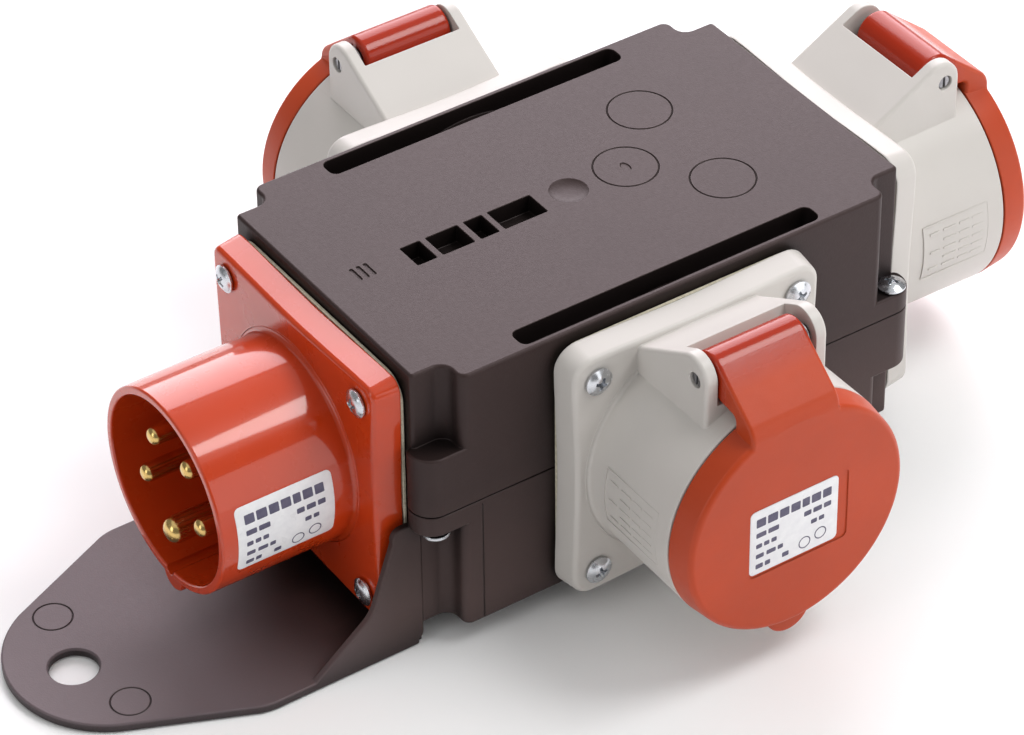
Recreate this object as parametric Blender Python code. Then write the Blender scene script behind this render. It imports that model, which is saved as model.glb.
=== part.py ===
"""Portable power distribution box: one five-pin inlet feeding three lidded socket outlets.

Frame: +X along the casing towards the end socket, +Z up, z = 0 on the plane the box stands on,
x = y = 0 at the middle of the casing. Lengths below are in millimetres and become metres at MM.
"""
import math

import bmesh
import bpy
from mathutils import Matrix, Vector

MM = 0.001
GAP = 0.3

# Casing, seen from above
CASE_HALF_X = 73.5
CASE_HALF_Y = 47.0
END_HALF_Y = 39.6
NOTCH_X = 63.9
CONCAVE_R = 3.4
CONVEX_R = 2.5
WALL = 3.0
EDGE = 0.8

# Casing, heights
CASE_BOTTOM = 6.2
CASE_TOP = 85.3
SEAM = 45.0
LONG_BOSS = 17.7
SHORT_BOSS = 6.0
BOSS_REACH = 75.4
BOSS_INNER_Y = 38.2
BOSS_R = 6.0
BOSS_SCREW = (70.0, 43.4)
BOSS_HOLE_DEPTH = 13.0
PLINTH_HALF = (50.0, 30.0)
PLINTH_R = 6.0

# Casing, top panel
SLOT_HALF_X = 44.8
SLOT_Y = (39.1, 45.4)
SLOT_R = 2.0
SLOT_DEPTH = 6.0
WINDOW_HALF_Y = 4.15
WINDOW_SPANS = ((-47.9, -42.2), (-40.4, -31.0), (-29.1, -23.7), (-22.0, -9.2))
WINDOW_DEPTH = 5.0
WINDOW_PAD = (-50.5, -6.5, 6.8)
DIMPLE_R = 5.3
DIMPLE_DEPTH = 1.0

# Hanging tab
TAB_T = 2.6
TAB_ROOT = 73.3
TAB_HALF_Y = 39.8
TAB_TAPER_X = 120.5
TAB_CORNER_R = 14.0
TAB_TIP_X = 138.0
TAB_TIP_R = 28.0
EYELET_X = 149.5
EYELET_R = 6.3
GUSSET_T = 1.9
WEB_T = 2.4
WEB_TOP = 7.4

# Connector stations: the middle of each flange face
STATION_Z = 45.8
INLET_Z = 45.3
FRONT_Z = 45.2
FRONT_X = -0.6
FLANGE_FACE = 9.0
CONNECTOR_SEG = 32

# Square flange, gasket and their screws
FLANGE_HALF = 37.8
FLANGE_DRAFT = 1.0
FLANGE_T = 7.5
FLANGE_R = 6.5
INLET_FLANGE_HALF = 37.5
INLET_FLANGE_R = 3.5
FLANGE_WAIST = 0.7
SCREW_PITCH = 30.0
SCREW_HOLE_R = 2.2
SCREW_SHANK_R = 1.8
SCREW_HEAD_R = 3.7
SCREW_HEAD_H = 2.2
SCREW_LENGTH = 17.0
CROSS_ARM = 1.9
CROSS_HALF_WIDTH = 0.45
CROSS_FLOOR = 1.2
SCREW_SEG = 10
HOLE_SEG = 8
GASKET_BORE_R = 29.0
CASE_BORE_R = 28.0

# Contact carriers, five contacts on one circle
FLOOR_BACK = -0.5
FLOOR_FRONT = 3.0
BACK_BORE_R = 27.2
SHOULDER_R = 26.7
SHOULDER_BACK = -22.0
CONTACT_CIRCLE_R = 13.5
CONTACT_ANGLES = (270.0, 342.0, 54.0, 126.0, 198.0)
CONTACT_NAMES = ("earth", "neutral", "l1", "l2", "l3")
EARTH_R = 3.5
PHASE_R = 2.5
CONTACT_PLAY = 0.4

# Inlet
SHROUD_R = 27.5
SHROUD_BORE_R = 25.2
SHROUD_FRONT = 38.2
KEY_R = 4.6
KEY_DROP = 27.4
INLET_CORE_R = 20.0
INLET_CORE_FRONT = 5.5
PHASE_TIP = 37.0
EARTH_TIP = 38.4
PIN_BACK = -26.0

# Socket outlets
BARREL_BASE_R = 32.6
BARREL_R = 33.0
BARREL_BORE_R = 29.0
BARREL_FRONT = 33.2
SOCKET_CORE_R = 24.0
SOCKET_CORE_FRONT = 31.0
CONTACT_HOLE_BACK = 2.0

# Socket hinge, seen from the side as (out, up) from the middle of the flange face
HINGE_OUT = 23.2
HINGE_UP = 39.8
EAR_HALF = 18.1
EAR_INNER = 14.6
EAR_ROUND = (21.8, 40.0, 6.0)
EAR_SLOPE = 28.0
EAR_FOOT_UP = 35.0
RECESS_BACK = 14.6
HINGE_PIN_R = 1.85
HINGE_HOLE_R = 2.2
HINGE_PIN_HALF = 17.5
KNUCKLE_R = 5.5
KNUCKLE_SPAN = (-14.2, 11.4)

# Lid
LID_BACK = 33.6
LID_FRONT = 41.5
LID_BACK_R = 33.0
LID_FRONT_R = 32.3
LID_CAVITY_R = 31.0
LID_FACE_T = 3.0
LID_EDGE = 1.6
ARM_SPAN = (-13.8, 11.2)
TONGUE_UP = -30.5
TONGUE_R = 6.5
SEAL_R = (24.6, 30.6)

# Closing spring
SPRING_R = 3.3
SPRING_WIRE_R = 0.45
SPRING_SPAN = (12.1, 13.9)
SPRING_TURNS = 2

# Wire looms
LOOM_R = 4.0
LOOM_OFFSET = 5.0

CAVITY_FLOOR = CASE_BOTTOM + WALL
RED = (0.80, 0.085, 0.030)


def material(name, color, roughness, metallic=0.0):
    made = bpy.data.materials.new(name)
    made.use_nodes = True
    shader = made.node_tree.nodes["Principled BSDF"]
    shader.inputs["Base Color"].default_value = (*color, 1.0)
    shader.inputs["Roughness"].default_value = roughness
    shader.inputs["Metallic"].default_value = metallic
    return made


def arc(center, radius, start, end, steps):
    """Points in the plane round center, from angle start to angle end in degrees."""
    points = []
    for step in range(steps + 1):
        angle = math.radians(start + (end - start) * step / steps)
        points.append((center[0] + radius * math.cos(angle), center[1] + radius * math.sin(angle)))
    return points


def rounded_square(half_x, half_y, radius, steps=3):
    corners = ((1, 1, 0), (-1, 1, 90), (-1, -1, 180), (1, -1, 270))
    points = []
    for sign_x, sign_y, start in corners:
        center = (sign_x * (half_x - radius), sign_y * (half_y - radius))
        points += arc(center, radius, start, start + 90, steps)
    return points


def ring(outline, height):
    return [Vector((x, y, height)) * MM for x, y in outline]


def circle(radius, height, segments, center=(0.0, 0.0)):
    return ring(arc(center, radius, 0, 360, segments)[:-1], height)


def loft(rings, closed=False):
    """Join rings of points, listed in order, into one body, with flat ends unless it closes on itself."""
    mesh = bmesh.new()
    loops = [[mesh.verts.new(point) for point in points] for points in rings]
    pairs = list(zip(loops, loops[1:]))
    if closed:
        pairs.append((loops[-1], loops[0]))
    else:
        mesh.faces.new(reversed(loops[0]))
        mesh.faces.new(loops[-1])
    for low, high in pairs:
        count = len(low)
        for index in range(count):
            after = (index + 1) % count
            mesh.faces.new((low[index], low[after], high[after], high[index]))
    bmesh.ops.recalc_face_normals(mesh, faces=mesh.faces)
    return mesh


def prism(outline, low, high):
    return loft([ring(outline, low), ring(outline, high)])


def box(low, high):
    outline = ((low[0], low[1]), (high[0], low[1]), (high[0], high[1]), (low[0], high[1]))
    return prism(outline, low[2], high[2])


def side_prism(profile, low, high):
    """Extrude an (out, up) profile sideways: out becomes z, up becomes y, and the ends are at x."""
    rings = [[Vector((x, up, out)) * MM for out, up in profile] for x in (low, high)]
    return loft(rings)


def cross_bar(radius, low, high, segments, center=(HINGE_OUT, HINGE_UP)):
    return side_prism(arc(center, radius, 0, 360, segments)[:-1], low, high)


def turned(profile, segments):
    """A body turned about z from its (radius, height) profile; points on the axis become tips."""
    return loft([circle(radius, height, segments) for radius, height in profile])


def turned_ring(profile, segments):
    return loft([circle(radius, height, segments) for radius, height in profile], closed=True)


def add_object(name, mesh_data, finish, parent=None):
    data = bpy.data.meshes.new(name)
    mesh_data.to_mesh(data)
    mesh_data.free()
    data.materials.append(finish)
    body = bpy.data.objects.new(name, data)
    bpy.context.collection.objects.link(body)
    body.parent = parent
    return body


def combine(body, mesh_data, operation, offset=None):
    """Apply one exact Boolean to body, with a helper mesh given in body's own space."""
    if offset is not None:
        bmesh.ops.transform(mesh_data, matrix=offset, verts=mesh_data.verts)
    helper = add_object("helper", mesh_data, body.data.materials[0], body)
    helper.hide_render = True
    helper.display_type = "WIRE"
    modifier = body.modifiers.new("combine", "BOOLEAN")
    modifier.object = helper
    modifier.operation = operation
    modifier.solver = "EXACT"
    bpy.context.view_layer.update()
    graph = bpy.context.evaluated_depsgraph_get()
    result = bpy.data.meshes.new_from_object(body.evaluated_get(graph))
    body.modifiers.clear()
    body.data = result
    bpy.data.objects.remove(helper)


def join(body, mesh_data, offset=None):
    combine(body, mesh_data, "UNION", offset)


def cut(body, mesh_data, offset=None):
    combine(body, mesh_data, "DIFFERENCE", offset)


def smooth(body, angle=35.0):
    body.data.shade_smooth()
    body.data.set_sharp_from_angle(angle=math.radians(angle))


def station(name, place, yaw):
    """Empty at the middle of a flange face: its x is to the right, y is up and z is outwards."""
    mark = bpy.data.objects.new(name, None)
    mark.location = Vector(place) * MM
    mark.rotation_euler = (math.radians(90), 0, math.radians(yaw))
    bpy.context.collection.objects.link(mark)
    return mark


def station_matrix(mark):
    bpy.context.view_layer.update()
    return mark.matrix_world.copy()


def screw_places():
    signs = ((1, 1), (-1, 1), (-1, -1), (1, -1))
    return [(sign_x * SCREW_PITCH, sign_y * SCREW_PITCH) for sign_x, sign_y in signs]


def contact_places():
    places = []
    for name, angle in zip(CONTACT_NAMES, CONTACT_ANGLES):
        turn = math.radians(angle)
        center = (CONTACT_CIRCLE_R * math.cos(turn), CONTACT_CIRCLE_R * math.sin(turn))
        radius = EARTH_R if name == "earth" else PHASE_R
        places.append((name, center, radius))
    return places


# ---------------------------------------------------------------- casing

def case_outline(inset):
    """Casing seen from above, with a curved notch in each corner, moved inwards by inset."""
    concave_center = (NOTCH_X + CONCAVE_R, END_HALF_Y + CONCAVE_R)
    convex_center = (NOTCH_X - CONVEX_R, CASE_HALF_Y - CONVEX_R)
    corner = [(CASE_HALF_X - inset, END_HALF_Y - inset)]
    corner += arc(concave_center, CONCAVE_R + inset, 270, 180, 4)
    corner += arc(convex_center, CONVEX_R - inset, 0, 90, 3)
    points = list(corner)
    points += [(-x, y) for x, y in reversed(corner)]
    points += [(-x, -y) for x, y in corner]
    points += [(x, -y) for x, y in reversed(corner)]
    return points


def cross_outline(inset):
    """Cavity seen from above: the casing's own cross shape without its rounding."""
    end_x = CASE_HALF_X - inset
    end_y = END_HALF_Y - inset
    mid_x = NOTCH_X - inset
    mid_y = CASE_HALF_Y - inset
    corner = [(end_x, end_y), (mid_x, end_y), (mid_x, mid_y)]
    points = list(corner)
    points += [(-x, y) for x, y in reversed(corner)]
    points += [(-x, -y) for x, y in corner]
    points += [(x, -y) for x, y in reversed(corner)]
    return points


def boss_outline(sign_x, sign_y):
    inner_x = NOTCH_X - 2.0
    round_center = (BOSS_REACH - BOSS_R, CASE_HALF_Y - BOSS_R)
    points = [(inner_x, BOSS_INNER_Y), (BOSS_REACH, BOSS_INNER_Y)]
    points += arc(round_center, BOSS_R, 0, 90, 5)
    points.append((inner_x, CASE_HALF_Y))
    return [(sign_x * x, sign_y * y) for x, y in points]


def cut_connector_holes(shell, marks):
    """Central hole and four screw holes through the wall behind each flange."""
    back = -FLANGE_FACE - WALL - 1.0
    front = -FLANGE_FACE + 1.0
    screw_back = -SCREW_LENGTH - 1.0
    for mark in marks:
        place = station_matrix(mark)
        cut(shell, turned([(CASE_BORE_R, back), (CASE_BORE_R, front)], CONNECTOR_SEG), place)
        for center in screw_places():
            hole = loft([circle(SCREW_HOLE_R, height, HOLE_SEG, center) for height in (screw_back, front)])
            cut(shell, hole, place)


def add_bosses(shell, spans):
    """spans gives the boss's lowest and highest point for the -X and the +X corners."""
    for sign_x, (low, high) in zip((-1, 1), spans):
        for sign_y in (-1, 1):
            join(shell, prism(boss_outline(sign_x, sign_y), low, high))


def drill_bosses(shell, hole_spans):
    for sign_x, (low, high) in zip((-1, 1), hole_spans):
        for sign_y in (-1, 1):
            center = (sign_x * BOSS_SCREW[0], sign_y * BOSS_SCREW[1])
            cut(shell, loft([circle(SCREW_HOLE_R, z, HOLE_SEG, center) for z in (low, high)]))


def upper_shell(marks, finish):
    low = SEAM + GAP / 2
    body = loft([
        ring(case_outline(0.0), low),
        ring(case_outline(0.0), CASE_TOP - EDGE),
        ring(case_outline(EDGE), CASE_TOP),
    ])
    shell = add_object("upper_shell", body, finish)
    trough_z = CASE_TOP - SLOT_DEPTH - WALL
    cut(shell, prism(cross_outline(WALL), low - 1.0, trough_z))
    trough_y = SLOT_Y[0] - WALL
    half_x = CASE_HALF_X - WALL
    cut(shell, box((-half_x, -trough_y, trough_z - 1.0), (half_x, trough_y, CASE_TOP - WALL)))
    pad_low, pad_high, pad_half = WINDOW_PAD
    pad_bottom = CASE_TOP - WINDOW_DEPTH - 2.0
    join(shell, box((pad_low, -pad_half, pad_bottom), (pad_high, pad_half, CASE_TOP - 1.0)))
    add_bosses(shell, ((low, low + LONG_BOSS), (low, low + SHORT_BOSS)))
    middle_y = (SLOT_Y[0] + SLOT_Y[1]) / 2
    slot = rounded_square(SLOT_HALF_X, (SLOT_Y[1] - SLOT_Y[0]) / 2, SLOT_R, 2)
    for sign in (-1, 1):
        moved = [(x, y + sign * middle_y) for x, y in slot]
        cut(shell, prism(moved, CASE_TOP - SLOT_DEPTH, CASE_TOP + 1.0))
    for start, end in WINDOW_SPANS:
        floor = (start, -WINDOW_HALF_Y, CASE_TOP - WINDOW_DEPTH)
        cut(shell, box(floor, (end, WINDOW_HALF_Y, CASE_TOP + 1.0)))
    dimple = [(DIMPLE_R * 0.5, -DIMPLE_DEPTH), (DIMPLE_R, 0.0), (DIMPLE_R, 1.0)]
    cut(shell, turned([(radius, CASE_TOP + height) for radius, height in dimple], 20))
    cut_connector_holes(shell, marks)
    top = low + BOSS_HOLE_DEPTH
    drill_bosses(shell, ((low - 1.0, top), (low - 1.0, low + SHORT_BOSS + 1.0)))
    smooth(shell)
    return shell


def tab_outline():
    """Tab seen from above: full width, two straight tapers and a round tip, starting at the casing."""
    taper = math.degrees(math.asin((TAB_HALF_Y - TAB_TIP_R) / (TAB_TIP_X - TAB_TAPER_X + 8.0)))
    tip = arc((-TAB_TIP_X, 0.0), TAB_TIP_R, 90 + taper, 270 - taper, 18)
    shoulder = arc((-TAB_TAPER_X + 6.0, TAB_HALF_Y - TAB_CORNER_R), TAB_CORNER_R, 90, 90 + taper, 3)
    near = [(x, -y) for x, y in reversed(shoulder)]
    return [(-TAB_ROOT, TAB_HALF_Y)] + shoulder + tip + near + [(-TAB_ROOT, -TAB_HALF_Y)]


def gusset_profile():
    """Gusset seen from the side, from its top at the casing down to the tab."""
    crest = arc((-77.2, 36.5), 3.0, 90, 195, 4)
    hollow = arc((-94.5, 21.3), 9.0, 345, 305, 4)
    points = [(-TAB_ROOT + 1.5, 39.5)] + crest + hollow
    points += [(-104.0, TAB_T - 0.3), (-104.0, 0.4), (-TAB_ROOT + 1.5, 0.4)]
    return points


def add_gussets(shell):
    for sign in (-1, 1):
        outer = sign * TAB_HALF_Y
        inner = sign * (TAB_HALF_Y - GUSSET_T)
        rings = [[Vector((x, y, z)) * MM for x, z in gusset_profile()] for y in (outer, inner)]
        join(shell, loft(rings))


def lower_shell(marks, finish):
    high = SEAM - GAP / 2
    body = loft([
        ring(case_outline(EDGE), CASE_BOTTOM),
        ring(case_outline(0.0), CASE_BOTTOM + EDGE),
        ring(case_outline(0.0), high),
    ])
    shell = add_object("lower_shell", body, finish)
    join(shell, prism(rounded_square(*PLINTH_HALF, PLINTH_R), 0.0, CASE_BOTTOM + 1.0))
    cut(shell, prism(cross_outline(WALL), CAVITY_FLOOR, high + 1.0))
    inside = [half - WALL for half in PLINTH_HALF]
    cut(shell, prism(rounded_square(*inside, PLINTH_R - WALL), WALL, CAVITY_FLOOR + 1.0))
    add_bosses(shell, ((high - SHORT_BOSS, high), (high - LONG_BOSS, high)))
    join(shell, box((-TAB_ROOT - WEB_T, 1.0 - END_HALF_Y, 0.2), (-TAB_ROOT + 1.5, END_HALF_Y - 1.0, WEB_TOP)))
    add_gussets(shell)
    join(shell, prism(tab_outline(), 0.0, TAB_T))
    cut(shell, loft([circle(EYELET_R, z, 24, (-EYELET_X, 0.0)) for z in (-1.0, TAB_T + 1.0)]))
    cut_connector_holes(shell, marks)
    bottom = high - BOSS_HOLE_DEPTH
    drill_bosses(shell, ((high - SHORT_BOSS - 1.0, high + 1.0), (bottom, high + 1.0)))
    smooth(shell)
    return shell


def pan_screw_mesh(length):
    """Pan-head screw standing on z = 0 with its shank down -z and a cross recess in its head."""
    profile = [
        (SCREW_SHANK_R, -length),
        (SCREW_SHANK_R, GAP),
        (SCREW_HEAD_R, GAP),
        (SCREW_HEAD_R, 1.1),
        (SCREW_HEAD_R * 0.7, SCREW_HEAD_H),
    ]
    return turned(profile, SCREW_SEG)


def cut_cross(screw):
    """Cut a cross recess with one plus-shaped cutter."""
    arm, half = CROSS_ARM, CROSS_HALF_WIDTH
    corner = [(arm, -half), (arm, half), (half, half)]
    outline = []
    for quarter in range(4):
        turn = Matrix.Rotation(math.radians(90 * quarter), 2)
        outline += [tuple(turn @ Vector(point)) for point in corner]
    cut(screw, prism(outline, CROSS_FLOOR, SCREW_HEAD_H + 1.0))


def casing_screws(finish):
    """Two screws stand on the short +X bosses; two hang under the short -X bosses."""
    top = SEAM + GAP / 2 + SHORT_BOSS
    bottom = SEAM - GAP / 2 - SHORT_BOSS
    for end, sign_x, height, flip in (("inlet_end", -1, bottom, 180), ("socket_end", 1, top, 0)):
        for side, sign_y in (("front", -1), ("rear", 1)):
            screw = add_object(f"casing_screw_{end}_{side}", pan_screw_mesh(SCREW_LENGTH), finish)
            cut_cross(screw)
            screw.location = Vector((sign_x * BOSS_SCREW[0], sign_y * BOSS_SCREW[1], height)) * MM
            screw.rotation_euler = (math.radians(flip), 0, 0)
            smooth(screw)


# ---------------------------------------------------------------- parts shared by all connectors

def cut_screw_holes(body, low, high):
    for center in screw_places():
        cut(body, loft([circle(SCREW_HOLE_R, z, HOLE_SEG, center) for z in (low, high)]))


def waisted_square(half, radius):
    """Rounded square whose sides bow inwards a little between its corners."""
    steps = 3
    corners = rounded_square(half, half, radius, steps)
    points = []
    for side in range(4):
        points += corners[side * (steps + 1):(side + 1) * (steps + 1)]
        for share in (-0.5, 0.0, 0.5):
            along = share * (half - radius)
            inward = half - FLANGE_WAIST * (1.0 - share * share)
            turn = Matrix.Rotation(math.radians(90 * side), 2)
            points.append(tuple(turn @ Vector((-along, inward))))
    return points


def flange_mesh(half, radius):
    draft = half - FLANGE_DRAFT
    return loft([
        ring(waisted_square(half, radius), -FLANGE_T),
        ring(waisted_square(draft, radius), -EDGE),
        ring(waisted_square(draft - EDGE, radius - EDGE), 0.0),
    ])


def gasket(prefix, mark, finish):
    half = FLANGE_HALF - 0.4
    sheet = prism(rounded_square(half, half, FLANGE_R), -FLANGE_FACE + GAP, -FLANGE_T - GAP)
    body = add_object(f"{prefix}_gasket", sheet, finish, mark)
    cut(body, turned([(GASKET_BORE_R, -FLANGE_FACE - 1.0), (GASKET_BORE_R, 0.0)], CONNECTOR_SEG))
    cut_screw_holes(body, -FLANGE_FACE - 1.0, 0.0)


def flange_screws(prefix, mark, finish):
    for index, (x, y) in enumerate(screw_places()):
        screw = add_object(f"{prefix}_screw_{index + 1}", pan_screw_mesh(SCREW_LENGTH), finish, mark)
        cut_cross(screw)
        screw.location = Vector((x, y, 0)) * MM
        screw.rotation_euler = (0, 0, math.radians(20 + 25 * index))
        smooth(screw)


# ---------------------------------------------------------------- inlet

def inlet_housing(mark, finish):
    body = add_object("inlet_housing", flange_mesh(INLET_FLANGE_HALF, INLET_FLANGE_R), finish, mark)
    join(body, turned([(SHROUD_R, -1.0), (SHROUD_R, SHROUD_FRONT)], CONNECTOR_SEG))
    key = loft([circle(KEY_R, z, 16, (0.0, -KEY_DROP)) for z in (-1.2, SHROUD_FRONT - 0.6)])
    join(body, key)
    cut(body, turned([(SHROUD_BORE_R, FLOOR_FRONT), (SHROUD_BORE_R, SHROUD_FRONT + 1.0)], CONNECTOR_SEG))
    cut(body, turned([(INLET_CORE_R + GAP, -1.5), (INLET_CORE_R + GAP, FLOOR_FRONT + 1.0)], CONNECTOR_SEG))
    cut(body, turned([(BACK_BORE_R, -FLANGE_T - 1.0), (BACK_BORE_R, FLOOR_BACK)], CONNECTOR_SEG))
    cut_screw_holes(body, -FLANGE_T - 1.0, 1.0)
    smooth(body)


def inlet_carrier(mark, finish):
    shape = turned([
        (SHOULDER_R, SHOULDER_BACK),
        (SHOULDER_R, FLOOR_BACK - GAP),
        (INLET_CORE_R, FLOOR_BACK - GAP),
        (INLET_CORE_R, INLET_CORE_FRONT),
    ], CONNECTOR_SEG)
    body = add_object("inlet_pin_carrier", shape, finish, mark)
    for _, center, radius in contact_places():
        heights = (SHOULDER_BACK - 1.0, INLET_CORE_FRONT + 1.0)
        cut(body, loft([circle(radius + CONTACT_PLAY, z, HOLE_SEG, center) for z in heights]))
    smooth(body)


def inlet_pins(mark, finish):
    for name, center, radius in contact_places():
        tip = EARTH_TIP if name == "earth" else PHASE_TIP
        dome = [(radius * math.cos(math.radians(a)), tip - radius * (1 - math.sin(math.radians(a))))
                for a in (0, 30, 60, 80)]
        pin = add_object(f"inlet_pin_{name}", turned([(radius, PIN_BACK)] + dome, SCREW_SEG), finish, mark)
        pin.location = Vector((*center, 0.0)) * MM
        smooth(pin)


# ---------------------------------------------------------------- socket outlets

def hinge_block_profile():
    """Side view of the hinge block: a slope rising from the flange to the rounded ear."""
    out, up, radius = EAR_ROUND
    return [(-1.0, EAR_FOOT_UP), (0.3, EAR_FOOT_UP)] + arc((out, up), radius, 90 + EAR_SLOPE, 0, 7) + [
        (out + radius, 20.0),
        (-1.0, 20.0),
    ]


def socket_body(prefix, mark, finish):
    body = add_object(f"{prefix}_socket_body", flange_mesh(FLANGE_HALF, FLANGE_R), finish, mark)
    join(body, side_prism(hinge_block_profile(), -EAR_HALF, EAR_HALF))
    join(body, turned([(BARREL_BASE_R, -1.2), (BARREL_R, BARREL_FRONT)], CONNECTOR_SEG))
    recess = [
        (RECESS_BACK, 60.0),
        (RECESS_BACK, BARREL_R + 0.9),
        (HINGE_OUT + 10.2, BARREL_R + 0.3),
        (HINGE_OUT + 10.2, 60.0),
    ]
    cut(body, side_prism(recess, -EAR_INNER, EAR_INNER))
    cut(body, cross_bar(HINGE_HOLE_R, -EAR_HALF - 1.0, EAR_HALF + 1.0, SCREW_SEG))
    cut(body, turned([(BARREL_BORE_R, FLOOR_FRONT), (BARREL_BORE_R, BARREL_FRONT + 1.0)], CONNECTOR_SEG))
    cut(body, turned([(SOCKET_CORE_R + GAP, -1.5), (SOCKET_CORE_R + GAP, FLOOR_FRONT + 1.0)], CONNECTOR_SEG))
    cut(body, turned([(BACK_BORE_R, -FLANGE_T - 1.0), (BACK_BORE_R, FLOOR_BACK)], CONNECTOR_SEG))
    cut_screw_holes(body, -FLANGE_T - 1.0, 1.0)
    smooth(body)


def socket_carrier(prefix, mark, finish):
    shape = turned([
        (SHOULDER_R, SHOULDER_BACK),
        (SHOULDER_R, FLOOR_BACK - GAP),
        (SOCKET_CORE_R, FLOOR_BACK - GAP),
        (SOCKET_CORE_R, SOCKET_CORE_FRONT),
    ], CONNECTOR_SEG)
    body = add_object(f"{prefix}_contact_carrier", shape, finish, mark)
    for _, center, radius in contact_places():
        mirrored = (-center[0], center[1])
        heights = (CONTACT_HOLE_BACK, SOCKET_CORE_FRONT + 1.0)
        cut(body, loft([circle(radius + CONTACT_PLAY, z, HOLE_SEG, mirrored) for z in heights]))
    smooth(body)


def lid_arm_profile():
    """Side view of the arm that runs from the knuckle down into the top of the lid."""
    lean = KNUCKLE_R * math.sqrt(0.5)
    top = (HINGE_OUT + lean, HINGE_UP + lean)
    face = LID_FRONT - 0.3
    return [
        (HINGE_OUT + 1.0, HINGE_UP + 2.0),
        top,
        (face, top[1] - (face - top[0])),
        (face, 26.0),
        (LID_BACK + 0.2, 26.0),
        (LID_BACK + 0.2, BARREL_R + 0.6),
        (HINGE_OUT + lean, HINGE_UP - lean),
        (HINGE_OUT + 1.0, HINGE_UP - 2.0),
    ]


def from_hinge():
    """Moves a shape given from the flange face to one given from the hinge axis."""
    return Matrix.Translation(Vector((0, -HINGE_UP, -HINGE_OUT)) * MM)


def lid(prefix, hinge, finish):
    """Cap with a knuckle on its arm; its origin is on the hinge axis."""
    to_hinge = from_hinge()
    shape = turned([
        (LID_BACK_R, LID_BACK),
        (LID_FRONT_R, LID_FRONT - LID_EDGE),
        (LID_FRONT_R - LID_EDGE, LID_FRONT),
    ], CONNECTOR_SEG)
    bmesh.ops.transform(shape, matrix=to_hinge, verts=shape.verts)
    body = add_object(f"{prefix}_lid", shape, finish, hinge)
    tongue = loft([circle(TONGUE_R, z, 16, (0.0, TONGUE_UP)) for z in (LID_BACK + 1.0, LID_FRONT - 2.0)])
    join(body, tongue, to_hinge)
    join(body, side_prism(lid_arm_profile(), *ARM_SPAN), to_hinge)
    join(body, cross_bar(KNUCKLE_R, *KNUCKLE_SPAN, 16), to_hinge)
    cavity = [(LID_CAVITY_R, LID_BACK - 1.0), (LID_CAVITY_R - 0.6, LID_FRONT - LID_FACE_T)]
    cut(body, turned(cavity, CONNECTOR_SEG), to_hinge)
    cut(body, cross_bar(HINGE_HOLE_R, -EAR_INNER, EAR_INNER, SCREW_SEG), to_hinge)
    smooth(body)


def lid_seal(prefix, hinge, finish):
    top = LID_FRONT - LID_FACE_T - GAP
    seal = turned_ring([
        (SEAL_R[0], LID_BACK),
        (SEAL_R[1], LID_BACK),
        (SEAL_R[1] - 0.5, top),
        (SEAL_R[0] + 0.5, top),
    ], CONNECTOR_SEG)
    bmesh.ops.transform(seal, matrix=from_hinge(), verts=seal.verts)
    smooth(add_object(f"{prefix}_lid_seal", seal, finish, hinge))


def closing_spring(prefix, hinge, finish):
    """Torsion spring round the hinge pin, beside the knuckle."""
    low, high = SPRING_SPAN
    per_turn = 10
    steps = SPRING_TURNS * per_turn
    rings = []
    for step in range(steps + 1):
        turn = 2 * math.pi * step / per_turn
        outward = Vector((0.0, math.cos(turn), math.sin(turn)))
        side = low + (high - low) * step / steps
        points = []
        for around in (45, 135, 225, 315):
            angle = math.radians(around)
            reach = SPRING_R + SPRING_WIRE_R * math.cos(angle)
            shift = side + SPRING_WIRE_R * math.sin(angle)
            points.append((outward * reach + Vector((shift, 0.0, 0.0))) * MM)
        rings.append(points)
    smooth(add_object(f"{prefix}_closing_spring", loft(rings), finish, hinge), 60.0)


def hinge_pin(prefix, hinge, finish):
    shape = cross_bar(HINGE_PIN_R, -HINGE_PIN_HALF, HINGE_PIN_HALF, SCREW_SEG, (0.0, 0.0))
    pin = add_object(f"{prefix}_hinge_pin", shape, finish, hinge)
    for sign in (-1, 1):
        end = sign * HINGE_PIN_HALF
        slot = [sorted((end - sign * 0.8, end + sign)), (-2.5, 2.5), (-0.4, 0.4)]
        cut(pin, box([span[0] for span in slot], [span[1] for span in slot]))
    smooth(pin)


def socket_outlet(prefix, mark, finishes):
    gasket(prefix, mark, finishes["gasket"])
    socket_body(prefix, mark, finishes["grey"])
    socket_carrier(prefix, mark, finishes["grey"])
    flange_screws(prefix, mark, finishes["zinc"])
    hinge = bpy.data.objects.new(f"{prefix}_lid_axis", None)
    hinge.location = Vector((0, HINGE_UP, HINGE_OUT)) * MM
    hinge.parent = mark
    bpy.context.collection.objects.link(hinge)
    lid(prefix, hinge, finishes["lid"])
    lid_seal(prefix, hinge, finishes["rubber"])
    hinge_pin(prefix, hinge, finishes["steel"])
    closing_spring(prefix, hinge, finishes["steel"])


# ---------------------------------------------------------------- wiring

def loom(name, ends, bow, finish):
    """Five-core loom along a smooth curve between two carriers."""
    start, start_way, end, end_way = ends
    steps = 12
    curve = bpy.data.curves.new(name, "CURVE")
    curve.dimensions = "3D"
    spline = curve.splines.new("POLY")
    spline.points.add(steps)
    for step in range(steps + 1):
        t = step / steps
        near = start + start_way * bow
        far = end + end_way * bow
        point = start * (1 - t) ** 3 + near * 3 * t * (1 - t) ** 2 + far * 3 * t * t * (1 - t) + end * t ** 3
        spline.points[step].co = (*(point * MM), 1.0)
    curve.bevel_depth = LOOM_R * MM
    curve.bevel_resolution = 2
    curve.use_fill_caps = True
    curve.materials.append(finish)
    body = bpy.data.objects.new(name, curve)
    bpy.context.collection.objects.link(body)


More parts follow.
